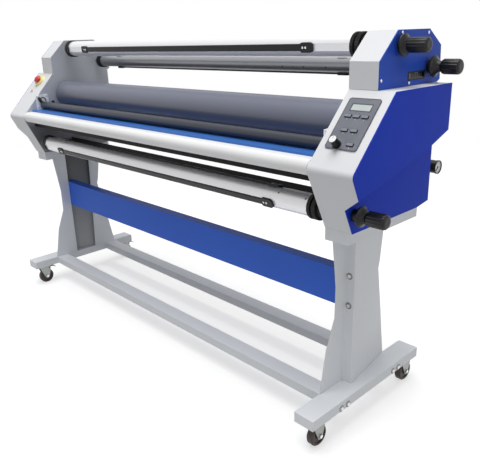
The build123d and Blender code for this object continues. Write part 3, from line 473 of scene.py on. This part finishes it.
def cross_head(radius, height):
    """A pan head screw: a low dome over a disc, less a cross-shaped recess near its middle."""
    arm_width, arm_reach, arm_depth, fall = 0.26, 0.62, 0.55, 0.45
    steps = np.array([0.0, 0.12, 0.24, 0.36, 0.48, 0.60, 0.75, 0.9, 1.0])
    turn = np.linspace(0, 2 * math.pi, 25)
    across, around = np.meshgrid(steps, turn, indexing="ij")
    x, y = across * np.cos(around), across * np.sin(around)
    dome = height * (1 - fall * across**2)
    arm = np.minimum(np.abs(x), np.abs(y)) < arm_width / 2
    dome = dome - height * arm_depth * (arm & (across < arm_reach))
    top = np.stack((radius * x, radius * y, dome), -1)
    rim = top[-1:] * (1, 1, 0)
    return np.concatenate((top, rim, 0 * rim), axis=0)


def ring(inner, outer, start, end, segments=32, rim=0.0003, ripple=None):
    """A closed ring: a rectangle with its outer corners broken, swept round at its distance."""
    section = [(inner, start), (outer - rim, start), (outer, start + rim)]
    section += [(outer, end - rim), (outer - rim, end), (inner, end), (inner, start)]
    return lathe(section, segments, ripple)


def bar(points, radius):
    """A round bar along a path: circles of one radius across the path's direction, closed at its ends."""
    path = np.array(points, float)
    ahead = np.gradient(path, axis=0)
    ahead /= np.linalg.norm(ahead, axis=1, keepdims=True)
    side = np.cross(ahead, (1.0, 0.0, 0.0))
    side /= np.linalg.norm(side, axis=1, keepdims=True)
    over = np.cross(ahead, side)
    turn = np.linspace(0, 2 * math.pi, 13)[None, :, None]
    tube = path[:, None] + radius * (np.cos(turn) * side[:, None] + np.sin(turn) * over[:, None])
    first, last = (np.broadcast_to(path[end], tube[:1].shape) for end in (0, -1))
    return np.concatenate((first, tube, last), axis=0)


def on_tube(axis, radius, angle, x):
    """A place on a tube about an X axis, at an angle from straight back, turning up."""
    out = np.array((0.0, math.cos(angle), math.sin(angle)))
    return basis(np.array((x, *axis[1:])) + out * radius, (1, 0, 0), (0, out[2], -out[1]), out)


def put(patch, places):
    """The same patch at each of the places."""
    return [moved(patch, place) for place in places]


def mirrored(places, right=False):
    """The same places on the other side of the machine, facing left unless right is asked for."""
    return [along_x(-x, y, z, right) for x, y, z in (place[:3, 3] for place in places)]


def paint(names, material):
    """Give CAD nodes a finish."""
    for name in names:
        for holder in frame["nodes"][name].material_slots:
            holder.material = material


def soften(names, width):
    """Round the folded edges of CAD nodes, without touching their meshes."""
    for name in names:
        node = frame["nodes"][name]
        weld = node.modifiers.new("Joined", "WELD")
        weld.merge_threshold = 1e-5
        bevel = node.modifiers.new("Folded edge", "BEVEL")
        bevel.width = width
        bevel.segments = 3
        bevel.limit_method = "ANGLE"
        bevel.angle_limit = math.radians(32)
        bevel.harden_normals = True
        bevel.use_clamp_overlap = True


def pairs(*names):
    """Left and right node names for each name."""
    return [f"{side}_{name}" for name in names for side in ("left", "right")]


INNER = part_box("right_side_plate")[0].x
CAP_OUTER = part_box("cap_plates")[1].x
AXES = {joint["child"]: joint["pos_m"] for joint in frame["joints"] if joint.get("pos_m")}

# Places and sizes in metres. On the sloping front they are across and up from the nose, and on the
# panel across and up from its middle.

CORNER_STEPS = 6
CHANNEL_FRONT, CHANNEL_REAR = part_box("stretcher_panel")[0].y - 0.002, 0.113
CHANNEL_DEPTH = 0.0385
COLUMN_TAPER = 0.151
BOLT_LIFT, FOOT_BOLTS, FOOT_BOLT_STEP = 0.012, (-0.1435, 0.158), 0.017
COLUMN_SHEET, COLUMN_BOLT_INSET, COLUMN_BOLT_STEP = 0.003, 0.020, 0.052
PLATE_CORNERS = ((0.041, 1.2605), (0.186, 1.2575), (-0.054, 1.136), (0.091, 1.1195))
WINDOW = (0.131, 1.1385)
WINDOW_SIZE = (0.091, 0.021)
DRUM_STEP = 0.013
TUBE_ENDS = (-0.842, 0.875)
STRIP_INSET, STRIP_RISE, STRIP_SCREWS = 0.140, 0.005, (0.0255, 0.0375)
HUB_RISE, HUB_DISCS = 0.0035, ((0.0, 0.012), (0.018, 0.015))

# Each core shaft's tube radius, its strips' angles, and the angle and X of its set screws
SHAFTS = {
    "top_front": (0.035, (185, 5), ()),
    "top_rear": (0.028, (275, 95), ((196, 0.448), (196, 0.550), (196, 0.651))),
    "lower_front": (0.035, (202, 322, 82), ((136, 0.753), (136, 0.863))),
}
# Each knob's gap to the cap, flange's inset, shortfall, barrel's radius and barrel's reach
KNOB_FITS = {
    "top_front": (0.0015, 0.0090, 0.0080, 0.0210, 0.064),
    "top_rear": (0.0090, 0.0060, 0.0020, 0.0225, 0.058),
    "lower_front": (0.0160, 0.0060, 0.0030, 0.0225, 0.062),
}
BRACKET_SHEET, BRACKET_SCREWS = 0.004, ((0.045, 0.010), (-0.006, -0.043))
STUD = (-0.082, 0.970)
LEVER_INSET = 0.0095
LEVER = (
    (-0.160, 0.989), (-0.152, 0.995), (-0.142, 0.9985),
    (-0.133, 0.996), (-0.127, 0.989), (-0.1235, 0.980),
)
NOSE, SLOPE_TOP = (-0.253, 0.909), (-0.063, 1.110)
SLOPE = math.atan2(SLOPE_TOP[1] - NOSE[1], SLOPE_TOP[0] - NOSE[0])
KEY_SWITCH = (-1.014, 0.162)
PANEL_MIDDLE = (INNER + 0.076, 0.1615)
PANEL_TOP = 0.003
KEY_TOP = 0.0058
DISPLAY_UP = 0.054
KEYS = {
    "left_top_button": (-0.028, 0.0235),
    "middle_top_button": (0.0, 0.0235),
    "right_top_button": (0.028, 0.0235),
    "left_middle_button": (-0.016, -0.0235),
    "right_middle_button": (0.016, -0.0235),
    "lower_button": (0.026, -0.0675),
}
SPEED_KNOB, SPEED_KNOB_HEIGHT, TICK_REACH = (-0.015, -0.0725), 0.0273, 0.0185
GAUGE_RECESS, GAUGE_TICK_REACH = 0.003, 0.0162
LAMPS = {
    "top": ((0.2, -0.8, 8.0), 6.0),
    "front": ((2.3, -2.7, 1.3), 1.8),
    "right": ((4.0, 0.4, 1.9), 2.4),
}


def on_slope(x, up, lift=0.0):
    """A place on the sloping front: x across, a distance up from the nose, and a lift off it."""
    rise = np.array((math.cos(SLOPE), math.sin(SLOPE)))
    out = np.array((-rise[1], rise[0]))
    y, z = np.array(NOSE) + rise * up + out * lift
    return basis((x, y, z), (1, 0, 0), (0, *rise), (0, *out))


def on_panel(x, up, lift):
    """A place on the control panel: across and up from its middle, and a lift off the slope."""
    return on_slope(PANEL_MIDDLE[0] + x, PANEL_MIDDLE[1] + up, lift)


def dial_places(dial, reach, count):
    """Places round a dial, from its lower left to its lower right: each is turned to point away from
    the dial's middle, at the reach from it."""
    places = []
    for turn in np.radians(np.linspace(225, -45, count)):
        spin = np.eye(4)
        spin[:2, 0] = math.sin(turn), -math.cos(turn)
        spin[:2, 1] = math.cos(turn), math.sin(turn)
        spin[:2, 3] = reach * spin[:2, 1]
        places.append(dial @ spin)
    return places


def arrow(size):
    """A flat triangular mark that points up: a section turned in three steps, with X and Y swapped."""
    half, lift = size / 2, 0.0002
    return lathe([(0, 0), (half, 0), (half, lift), (0, lift)], 3)[..., [1, 0, 2]]


def channel_painted_shade(finish):
    """The mask of painted shade in a column's open channel, stronger towards its top. The column's outer
    face comes nearer its inner one by the taper for each metre back."""
    side, along, height = finish.across("X").size(), finish.across("Y"), finish.across("Z")
    outside = (side + (along - CHANNEL_FRONT) * COLUMN_TAPER).beyond(INNER + CHANNEL_DEPTH)
    deep = side.beyond(INNER + 0.001) * (1 - outside)
    between = along.beyond(CHANNEL_FRONT) * (1 - along.beyond(CHANNEL_REAR))
    at_floor, by_height = 0.34, 0.9
    return deep * between * (height * by_height + at_floor).clamped()


def beam_painted_shade(finish):
    """The mask of painted shade on a side plate's foot, below the front beam."""
    softness, strength = 0.06, 0.7
    return (1 - finish.across("Z").beyond(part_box("front_beam")[0].z, softness)) * strength


def column_lip(side):
    """The lip at the rear of a column's opening: a folded strip whose two flats meet at a fold that
    leans forward with height, lifted from the foot's top to the head by a straight line between them."""
    sheet, flush, rear, depth, head = 0.002, -0.0004, 0.114, 0.017, 0.043
    low_fold, high_fold = 0.060, 0.081
    bottom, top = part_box("right_foot")[1].z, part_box("right_upright")[1].z - head
    near, far = (
        [[(x, rear), (x, fold + back), (depth, fold + back)] for fold in (low_fold, high_fold)]
        for x, back in ((flush, 0), (sheet, sheet))
    )
    rings = np.array((near[0], far[0], far[1], near[1], near[0]))
    heights = np.array((bottom, bottom, top, top, bottom))[:, None] * np.ones(3)
    tube = np.stack((side * (INNER + rings[..., 0]), rings[..., 1], heights), -1).transpose(1, 0, 2)
    caps = [np.array(((end[0], end[1]), (end[3], end[2]))) for end in (tube[0], tube[-1])]
    return [tube, *caps]


# Operators, one for each group of pieces

class Step:
    """The colours and sizes that every step reads."""

    @property
    def colours(self):
        return bpy.context.scene.laminator_paint

    @property
    def sizes(self):
        return bpy.context.scene.laminator_fittings


class LAMINATOR_OT_stage(bpy.types.Operator):
    """Set the camera, the soft lamps, the white room and the floor"""

    bl_idname = "laminator.stage"
    bl_label = "Camera, light and floor"

    def execute(self, context):
        scene = context.scene
        settings = scene.laminator_stage
        scene.view_settings.view_transform = "Standard"
        self.camera(scene, settings)
        self.world(scene, settings)
        for name, (place, size) in LAMPS.items():
            self.lamp(scene, f"{name}_lamp", place, size, getattr(settings, f"{name}_power"))
        self.floor(settings)
        return {"FINISHED"}

    def camera(self, scene, settings):
        """Aim straight back and level, then turn by yaw, pitch and roll."""
        place = Matrix.Translation(settings.camera_place)
        upright = math.pi / 2 - settings.camera_pitch
        for turn, axis in ((settings.camera_yaw, "Z"), (upright, "X"), (settings.camera_roll, "Z")):
            place = place @ Matrix.Rotation(turn, 4, axis)
        data = bpy.data.cameras.new("camera")
        data.sensor_fit = "HORIZONTAL"
        data.sensor_width = 36
        data.lens = settings.lens
        camera = bpy.data.objects.new("camera", data)
        camera.matrix_world = place
        scene.collection.objects.link(camera)
        scene.camera = camera

    def world(self, scene, settings):
        """White where it is seen or mirrored, and a softer grey where it lights the object."""
        world = bpy.data.worlds.new("room")
        scene.world = world
        world.use_nodes = True
        nodes = Nodes(world.node_tree)
        light, output = (nodes.tree.nodes[name] for name in ("Background", "World Output"))
        nodes.feed(light.inputs["Color"], (0.97, 0.985, 1.0, 1.0))
        nodes.feed(light.inputs["Strength"], settings.world_level)
        seen = nodes.node("ShaderNodeBackground", {}, {"Color": (1, 1, 1, 1)})
        shown = nodes.white_where_seen(Value(nodes, light.outputs[0]), seen)
        nodes.feed(output.inputs["Surface"], shown)

    def lamp(self, scene, name, place, size, power):
        """A square lamp turned towards the middle of the machine."""
        data = bpy.data.lights.new(name, "AREA")
        data.shape = "SQUARE"
        data.size = size
        data.energy = power
        lamp = bpy.data.objects.new(name, data)
        aim = Vector((0, 0, 0.7)) - Vector(place)
        lamp.location = place
        lamp.rotation_mode = "QUATERNION"
        lamp.rotation_quaternion = aim.to_track_quat("-Z", "Y")
        scene.collection.objects.link(lamp)

    def floor(self, settings):
        """A flat disc: radius times the cosine and sine of the turn, fading out at its rim."""
        floor = linked("floor", [lathe([(0, 0), (1.5, 0), (3.0, 0), (6.0, 0), (12.0, 0)], 64)])
        finish = Finish("floor_matt", settings.floor_colour, 0.9, specular=0.1)
        plain = Value(finish, finish.shader.outputs[0])
        lift = finish.node("ShaderNodeEmission", {}, {"Strength": settings.floor_lift})
        lifted = finish.node("ShaderNodeAddShader", {}, {0: plain, 1: lift})
        length = {"operation": "LENGTH"}
        distance = finish.node("ShaderNodeVectorMath", length, {0: finish.place}, "Value")
        fade_start, fade_rate = 2.2, 0.28
        faded = ((distance - fade_start) * fade_rate).clamped()
        clear = finish.node("ShaderNodeBsdfTransparent", {}, {})
        mix = {0: faded, 1: finish.white_where_seen(plain, lifted), 2: clear}
        shown = finish.node("ShaderNodeMixShader", {}, mix)
        finish.feed(finish.tree.nodes["Material Output"].inputs["Surface"], shown)
        floor.data.materials.append(finish.material)


class LAMINATOR_OT_stand(Step, bpy.types.Operator):
    """Finish the stand, its rails, stretcher and bolts, and add washers and the columns' lips"""

    bl_idname = "laminator.stand"
    bl_label = "Stand"

    def execute(self, context):
        # Painted shade darkens the stand's coat inside the columns' open channels.
        coat = powder_coat("stand_coat", self.colours.stand, 0.45, painted_shade=channel_painted_shade)
        blue = powder_coat("stretcher_coat", self.colours.stretcher, 0.42, dust=0.0, shine=0.06)
        paint(pairs("foot", "upright") + ["lower_rails"], coat)
        paint(["stretcher_panel"], blue)
        paint(["stand_bolts"], zinc_plate("bolt_zinc", (0.80, 0.80, 0.80), 0.3))
        soften(pairs("foot"), self.sizes.edge_radius * 1.5)
        soften(pairs("upright") + ["lower_rails"], self.sizes.edge_radius)
        foot_low, foot_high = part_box("right_foot")
        foot_places = [
            along_x(foot_high.x, middle + step, foot_low.z + BOLT_LIFT)
            for middle in FOOT_BOLTS
            for step in (-FOOT_BOLT_STEP, FOOT_BOLT_STEP)
        ]
        low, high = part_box("stretcher_panel")
        face, middle = low.y - COLUMN_SHEET, (low.z + high.z) / 2
        column_places = [
            basis((x, face, middle + step), (1, 0, 0), (0, 0, 1), (0, -1, 0))
            for x in (-INNER - COLUMN_BOLT_INSET, INNER + COLUMN_BOLT_INSET)
            for step in (-COLUMN_BOLT_STEP, COLUMN_BOLT_STEP)
        ]
        washer = ring(0.0045, self.sizes.washer_radius, 0, self.sizes.washer_height)
        # The washers' dark grey is partly their zinc and partly painted shade round the bolt heads.
        plate = zinc_plate("washer_zinc", (0.26, 0.26, 0.25), 0.34)
        places = foot_places + mirrored(foot_places) + column_places
        piece("stand_washers", put(washer, places), plate)
        for name, side in (("left_column_lip", -1), ("right_column_lip", 1)):
            piece(name, column_lip(side), coat)
        return {"FINISHED"}


class LAMINATOR_OT_casters(Step, bpy.types.Operator):
    """Finish the casters"""

    bl_idname = "laminator.casters"
    bl_label = "Casters"

    def execute(self, context):
        ends = [f"{end}_{side}" for side in ("left", "right") for end in ("front", "rear")]
        for part, material in (
            ("caster_fork", zinc_plate("fork_zinc", (0.34, 0.36, 0.34), 0.38)),
            ("caster_wheel", rubber("caster_tread", (0.042, 0.026, 0.024), 0.42, worn=0.4)),
            ("brake_pedal", moulded("pedal_plastic", self.colours.plastic, 0.5)),
        ):
            paint([f"{end}_{part}" for end in ends], material)
        cap_zinc = zinc_plate("axle_cap_zinc", (0.85, 0.85, 0.85), 0.3)
        cover = lathe([(0, 0), (0.0062, 0), (0.0062, 0.0006), (0.0045, 0.0016), (0, 0.0021)], 24)
        for end in ends:
            low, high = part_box(f"{end}_caster_fork")
            _, y, z = AXES[f"{end}_wheel"]
            sides = [along_x(high.x, y, z), along_x(low.x, y, z, right=False)]
            piece(f"{end}_axle_caps", put(cover, sides), cap_zinc, f"{end}_fork")
        return {"FINISHED"}


class LAMINATOR_OT_housings(Step, bpy.types.Operator):
    """Finish the housings, caps, covers and side plates, and add their screws and the counter window"""

    bl_idname = "laminator.housings"
    bl_label = "Housings and covers"

    def execute(self, context):
        colours = self.colours
        paint(pairs("housing", "cap"), powder_coat("shell_coat", colours.white, 0.45, shine=0.15))
        paint(pairs("side_cover"), powder_coat("cover_coat", colours.blue, 0.40, shine=0.06))
        paint(["cap_plates"], powder_coat("end_plate_coat", colours.end_plate, 0.38, shine=0.12))
        # Painted shade darkens the side plates below the front beam.
        paint(pairs("side_plate"), powder_coat("plate_coat", colours.plate, 0.38, painted_shade=beam_painted_shade))
        soften(pairs("side_cover"), self.sizes.edge_radius)
        places = [along_x(CAP_OUTER, y, z) for y, z in PLATE_CORNERS]
        head = cross_head(self.sizes.screw_radius, self.sizes.screw_height)
        bright = zinc_plate("screw_zinc", (0.80, 0.80, 0.82), 0.25)
        piece("cover_screws", put(head, places + mirrored(places)), bright)
        width, height = WINDOW_SIZE
        pane = slab(width - 0.0008, height - 0.0008, 0.0007, 0.001)
        rim = frame_band(width + 0.004, height + 0.004, 0.003, 0.0038, 0.0012)
        drum = slab(0.0095, 0.0135, 0.0003, 0.001)
        drums = [(step * DRUM_STEP, -0.0003) for step in range(-2, 3)]
        for name, patch, spots, material in (
            ("counter_window", pane, [(0, -0.001)], glass("window_glass", (0.004, 0.004, 0.005))),
            ("counter_window_rim", rim, [(0, 0)], moulded("rim_plastic", colours.plastic, 0.45)),
            ("counter_drums", drum, drums, enamel("drum_enamel", (0.008, 0.007, 0.010))),
        ):
            places = [along_x(CAP_OUTER + out, WINDOW[0] + step, WINDOW[1]) for step, out in spots]
            piece(name, put(patch, places), material)
        return {"FINISHED"}


class LAMINATOR_OT_table(Step, bpy.types.Operator):
    """Finish the feed table, the front beam and the bars between the side plates"""

    bl_idname = "laminator.table"
    bl_label = "Table and beams"

    def execute(self, context):
        colours = self.colours
        paint(["feed_table"], powder_coat("table_coat", colours.table, 0.30, 500.0, 0.02))
        paint(["front_beam"], powder_coat("beam_coat", colours.beam, 0.34))
        paint(["cross_members"], powder_coat("bar_coat", colours.black, 0.45, 500.0, 0.0, shine=0.08))
        low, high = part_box("feed_table")
        rows = [
            basis((x, high.y - 0.012, high.z), (1, 0, 0), (0, 1, 0), (0, 0, 1))
            for x in np.linspace(low.x + 0.06, high.x - 0.06, 7)
        ]
        zinc = zinc_plate("table_screw_zinc", (0.5, 0.5, 0.52))
        piece("table_screws", put(cross_head(0.0042, 0.0016), rows), zinc)
        return {"FINISHED"}


class LAMINATOR_OT_rollers(Step, bpy.types.Operator):
    """Finish the nip rollers, their bearings, lift cylinders and motor"""

    bl_idname = "laminator.rollers"
    bl_label = "Nip rollers and drive"

    def execute(self, context):
        covering = covered_roller("roller_covering", self.colours.rubber, INNER - 0.0215)
        paint(["top_roller", "bottom_roller"], covering)
        steel = ground_metal("block_steel", (0.5, 0.51, 0.53), 0.35, (1, 0.1, 1))
        paint(["upper_bearing_blocks", "lower_bearing_blocks"], steel)
        aluminium = ground_metal("cylinder_aluminium", (0.75, 0.76, 0.78), 0.3, (1, 1, 0.08))
        paint(["lift_cylinders"], aluminium)
        paint(["drive_motor"], powder_coat("motor_enamel", self.colours.black, 0.35))
        return {"FINISHED"}


class LAMINATOR_OT_core_shafts(Step, bpy.types.Operator):
    """Finish the core shafts, with knurled hub rims and screws in the strip blocks and tubes"""

    bl_idname = "laminator.core_shafts"
    bl_label = "Core shafts"

    def execute(self, context):
        colours, sizes = self.colours, self.sizes
        tubes = {
            "top_front": tube_metal("front_tube_metal", colours.front_tube, 0.50, 0.30),
            "top_rear": tube_metal("rear_tube_metal", colours.rear_tube, 0.45, 0.30),
            "lower_front": tube_metal("lower_tube_metal", colours.lower_tube, 0.35, 0.30),
        }
        black = moulded("fitting_plastic", colours.plastic, 0.4)
        knurled = moulded("knurl_plastic", colours.plastic, 0.34, 400.0, 0.1)
        bright = zinc_plate("strip_screw_zinc", (0.80, 0.80, 0.82), 0.25)
        dark = enamel("set_screw_black", (0.03, 0.03, 0.032))
        head = cross_head(sizes.strip_screw_radius, 0.0012)
        rim, top, edge = sizes.tube_screw_radius, 0.0006, 0.0004
        plug = lathe([(0, 0), (rim, 0), (rim, top - edge), (rim - edge, top), (0, top)])
        ends = [(TUBE_ENDS[0] + STRIP_INSET, 1), (TUBE_ENDS[1] - STRIP_INSET, -1)]
        for name, tube in tubes.items():
            paint([f"{name}_core_shaft"], tube)
            paint([f"{name}_shaft_fittings"], black)
            body, axis = f"{name}_shaft", AXES[f"{name}_shaft"]
            radius, angles, set_screws = SHAFTS[name]
            places = [
                on_tube(axis, radius + STRIP_RISE, math.radians(angle), end + inward * back)
                for angle in angles
                for end, inward in ends
                for back in STRIP_SCREWS
            ]
            piece(f"{name}_strip_screws", put(head, places), bright, body)
            self.rims(name, axis, radius, knurled, body)
            spots = [on_tube(axis, radius, math.radians(angle), x) for angle, x in set_screws]
            if spots:
                piece(f"{name}_set_screws", put(plug, spots), dark, body)
        return {"FINISHED"}

    def rims(self, name, axis, radius, material, body):
        """Knurled sleeves round the hubs' discs: the radius swells with the cosine of the turn times
        the count."""
        rim = radius + HUB_RISE
        count, depth = self.sizes.knurl_count, self.sizes.knurl_depth

        def ridges(turn, distance, height):
            return np.where(distance > rim, depth * 0.5 * (np.cos(count * turn) - 1), 0)

        patches = []
        sunk, proud, inset, edge = 0.002, 0.0016, 0.0004, 0.0006
        for end, outward in zip(TUBE_ENDS, (-1, 1)):
            for step, width in HUB_DISCS:
                sleeve = ring(rim - sunk, rim + proud, inset, width - inset, count * 4, edge, ridges)
                place = along_x(end + outward * step, axis[1], axis[2], outward > 0)
                patches.append(moved(sleeve, place))
        piece(f"{name}_hub_knurls", patches, material, body, 25.0)


class LAMINATOR_OT_knobs(Step, bpy.types.Operator):
    """Make the tension knobs: a boss, a thin flange, a coned neck and a fluted barrel"""

    bl_idname = "laminator.knobs"
    bl_label = "Tension knobs"

    def execute(self, context):
        black = moulded("knob_plastic", self.colours.plastic, 0.30, 500.0, 0.08)
        for name, (gap, inset, short, barrel, reach) in KNOB_FITS.items():
            node = f"{name}_tension_knob"
            low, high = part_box(node)
            _, y, z = AXES[f"{name}_knob"]
            grip = self.grip(high.x - low.x - short, gap - 0.0005, inset, barrel, reach)
            patches = put(grip, [along_x(low.x, y, z)])
            made = piece(f"{name}_knob_grip", patches, black, f"{name}_knob", 40.0)
            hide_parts(node)
        return {"FINISHED"}

    def grip(self, length, back, inset, barrel, reach):
        """A turned section, whose barrel sinks by the flute depth times a raised cosine of the turn."""
        sizes = self.sizes
        boss, flange, neck = 0.0190, sizes.flange_radius, 0.0150
        start, end = length - reach, length
        section = [
            (0, -back), (boss, -back), (boss, inset), (flange - 0.001, inset), (flange, inset + 0.001),
            (flange, inset + 0.0045), (flange - 0.0012, inset + 0.0058),
            (flange - 0.0045, inset + 0.0072), (0.0215, inset + 0.0130), (0.0172, inset + 0.0200),
            (neck, max(inset + 0.0205, start - 0.0035)),
            (barrel - 0.0050, start), (barrel - 0.0016, start + 0.0022), (barrel, start + 0.0055),
            (barrel, end - 0.0075), (barrel - 0.0012, end - 0.0040), (barrel - 0.0042, end - 0.0014),
            (barrel - 0.0080, end), (0.0080, end - 0.0004), (0, end - 0.0006),
        ]

        def flutes(turn, distance, height):
            runout = 0.004
            begun = np.clip((height - start) / runout, 0, 1)
            ended = np.clip((end - 0.0025 - height) / runout, 0, 1)
            wave = (0.5 + 0.5 * np.cos(sizes.flute_count * turn)) ** 2
            return -sizes.flute_depth * begun * ended * wave

        return lathe(section, sizes.flute_count * 8, flutes)


class LAMINATOR_OT_guide_bar(Step, bpy.types.Operator):
    """Finish the guide bar and its brackets"""

    bl_idname = "laminator.guide_bar"
    bl_label = "Guide bar"

    def execute(self, context):
        colours = self.colours
        paint(["guide_bar"], tube_metal("bar_anodised", colours.bar, 0.0, 0.36))
        paint(["guide_brackets"], tube_metal("bracket_plating", colours.bracket, 0.05, 0.34))
        pivot = AXES["guide_bar"]
        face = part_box("guide_brackets")[1].x - BRACKET_SHEET
        spots = [along_x(face, pivot[1] + y, pivot[2] + z, right=False) for y, z in BRACKET_SCREWS]
        heads = put(cross_head(0.0036, 0.0016), spots + mirrored(spots, right=True))
        zinc = zinc_plate("bracket_screw_zinc", (0.6, 0.6, 0.62))
        piece("bracket_screws", heads, zinc)
        section = [(0, 0), (0.0075, 0), (0.0082, 0.0012), (0.0082, 0.0048), (0.0062, 0.0062)]
        stud = lathe(section + [(0.0034, 0.0062), (0.0030, 0.0040), (0, 0.0038)], 28)
        places = [along_x(INNER, *STUD, right=False), along_x(-INNER, *STUD)]
        black = moulded("stud_plastic", colours.plastic, 0.35)
        piece("plate_studs", put(stud, places), black)
        depth = face - LEVER_INSET
        paths = [np.column_stack((np.full(len(LEVER), x), LEVER)) for x in (depth, -depth)]
        piece("guide_levers", [bar(path, 0.0026) for path in paths], black, "guide_bar")
        return {"FINISHED"}


class LAMINATOR_OT_control_panel(Step, bpy.types.Operator):
    """Finish the control panel, with its display, buttons, speed knob and dial ticks"""

    bl_idname = "laminator.control_panel"
    bl_label = "Control panel"

    def execute(self, context):
        colours = self.colours
        paint(["control_panel"], moulded("panel_membrane", colours.panel, 0.42, 1200.0, 0.06))
        dark = moulded("key_plastic", colours.plastic, 0.4)
        faces = enamel("key_face", colours.key_face, 0.38)
        light = enamel("panel_print", (0.52, 0.53, 0.56), 0.4)
        marks = []
        for name, (x, up) in KEYS.items():
            paint([name], dark)
            key = put(slab(0.0206, 0.0086, 0.0006, 0.0012), [on_panel(x, up, KEY_TOP)])
            piece(name.replace("button", "key_face"), key, faces, name)
            marks += put(arrow(0.0042), [on_panel(x, up - 0.0105, PANEL_TOP)])
        piece("panel_marks", marks, light)
        rims = [
            moved(frame_band(0.106, 0.171, 0.008, 0.0016, 0.0005), on_panel(0, 0, PANEL_TOP)),
            moved(frame_band(0.071, 0.027, 0.003, 0.0032, 0.0004), on_panel(0, DISPLAY_UP, PANEL_TOP)),
        ]
        rim_grey = moulded("rim_grey", (0.085, 0.09, 0.10), 0.4)
        piece("panel_rims", rims, rim_grey)
        pane = slab(0.0634, 0.0204, 0.0008, 0.0008)
        screen = put(pane, [on_panel(0, DISPLAY_UP, PANEL_TOP - 0.0010)])
        piece("display_glass", screen, glass("display_glass", colours.display))
        self.speed_knob(light)
        return {"FINISHED"}

    def speed_knob(self, light):
        """The speed knob's white cap and pointer, and the ticks round it."""
        paint(["speed_knob"], moulded("speed_plastic", self.colours.plastic, 0.34))
        x, up = SPEED_KNOB
        top = PANEL_TOP + SPEED_KNOB_HEIGHT
        cap = lathe([(0, 0), (0.0108, 0), (0.0108, 0.0007), (0.0100, 0.0014), (0, 0.0017)], 40)
        white = enamel("cap_white", (0.86, 0.86, 0.87), 0.3)
        piece("speed_knob_cap", put(cap, [on_panel(x, up, top)]), white, "speed_knob")
        pointer = put(slab(0.0010, 0.0070, 0.0004, 0.0004), [on_panel(x, up + 0.0045, top + 0.0014)])
        black = enamel("pointer_black", (0.02, 0.02, 0.02))
        piece("speed_knob_pointer", pointer, black, "speed_knob")
        places = dial_places(on_panel(x, up, PANEL_TOP), TICK_REACH, self.sizes.dial_ticks)
        ticks = put(slab(0.0007, 0.0026, 0.0002, 0.0003), places)
        piece("speed_ticks", ticks, light)


class LAMINATOR_OT_emergency_stop(Step, bpy.types.Operator):
    """Finish the emergency stop, and add the key switch beside it"""

    bl_idname = "laminator.emergency_stop"
    bl_label = "Emergency stop"

    def execute(self, context):
        head = moulded("stop_head_plastic", self.colours.stop_head, 0.25, 500.0, 0.05)
        base = moulded("stop_base_plastic", self.colours.stop_base, 0.32, 500.0, 0.06)
        paint(["emergency_stop_head"], head)
        paint(["emergency_stop_base"], base)
        recess = 0.0024
        section = [(0, 0), (0.0095, 0), (0.0095, 0.0016), (0.0080, 0.0032), (0.0060, 0.0032)]
        collar = lathe(section + [(0.0056, recess), (0, recess)])
        lock = zinc_plate("lock_zinc", (0.42, 0.36, 0.30), 0.3)
        piece("key_switch", put(collar, [on_slope(*KEY_SWITCH)]), lock)
        slot = put(slab(0.0014, 0.0066, 0.0003, 0.0005), [on_slope(*KEY_SWITCH, recess)])
        piece("key_slot", slot, enamel("slot_black", (0.01, 0.01, 0.01)))
        return {"FINISHED"}


class LAMINATOR_OT_gauge(Step, bpy.types.Operator):
    """Finish the pressure gauge and its needle"""

    bl_idname = "laminator.gauge"
    bl_label = "Pressure gauge"

    def execute(self, context):
        paint(["pressure_gauge"], moulded("gauge_case", self.colours.plastic, 0.35))
        paint(["gauge_needle"], moulded("needle_enamel", self.colours.black, 0.4))
        _, y, z = AXES["gauge_needle"]
        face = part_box("pressure_gauge")[1].x - GAUGE_RECESS
        dial = put(ring(0.0032, 0.0198, 0, 0.0002, 64, 0.0001), [along_x(face, y, z)])
        piece("gauge_dial", dial, enamel("dial_white", (0.82, 0.82, 0.81), 0.4))
        places = dial_places(along_x(face + 0.0002, y, z), GAUGE_TICK_REACH, self.sizes.gauge_ticks)
        ticks = put(slab(0.0006, 0.0042, 0.00006, 0.0002), places)
        piece("gauge_ticks", ticks, enamel("tick_black", (0.02, 0.02, 0.02)))
        return {"FINISHED"}


class LAMINATOR_PT_pieces(bpy.types.Panel):
    """Lists the steps that finish the laminator"""

    bl_idname = "LAMINATOR_PT_pieces"
    bl_label = "Roll laminator"
    bl_space_type = "VIEW_3D"
    bl_region_type = "UI"
    bl_category = "Laminator"

    def draw(self, context):
        for step in STEPS:
            self.layout.operator(step.bl_idname)


SETTINGS = (
    ("laminator_paint", PaintSettings),
    ("laminator_fittings", FittingSettings),
    ("laminator_stage", StageSettings),
)
STEPS = (
    LAMINATOR_OT_stage,
    LAMINATOR_OT_stand,
    LAMINATOR_OT_casters,
    LAMINATOR_OT_housings,
    LAMINATOR_OT_table,
    LAMINATOR_OT_rollers,
    LAMINATOR_OT_core_shafts,
    LAMINATOR_OT_knobs,
    LAMINATOR_OT_guide_bar,
    LAMINATOR_OT_control_panel,
    LAMINATOR_OT_emergency_stop,
    LAMINATOR_OT_gauge,
)


def register():
    """Register the settings, the steps and the sidebar panel."""
    for name, group in SETTINGS:
        bpy.utils.register_class(group)
        setattr(bpy.types.Scene, name, PointerProperty(type=group))
    for step in STEPS:
        bpy.utils.register_class(step)
    bpy.utils.register_class(LAMINATOR_PT_pieces)


def unregister():
    """Undo what register does, in reverse."""
    bpy.utils.unregister_class(LAMINATOR_PT_pieces)
    for step in reversed(STEPS):
        bpy.utils.unregister_class(step)
    for name, group in reversed(SETTINGS):
        delattr(bpy.types.Scene, name)
        bpy.utils.unregister_class(group)


def main():
    """Run every step in order."""
    register()
    for step in STEPS:
        call = getattr(bpy.ops.laminator, step.bl_idname.split(".")[1])
        if call() != {"FINISHED"}:
            raise RuntimeError(f"{step.bl_label} did not finish")


if __name__ == "__main__":
    main()
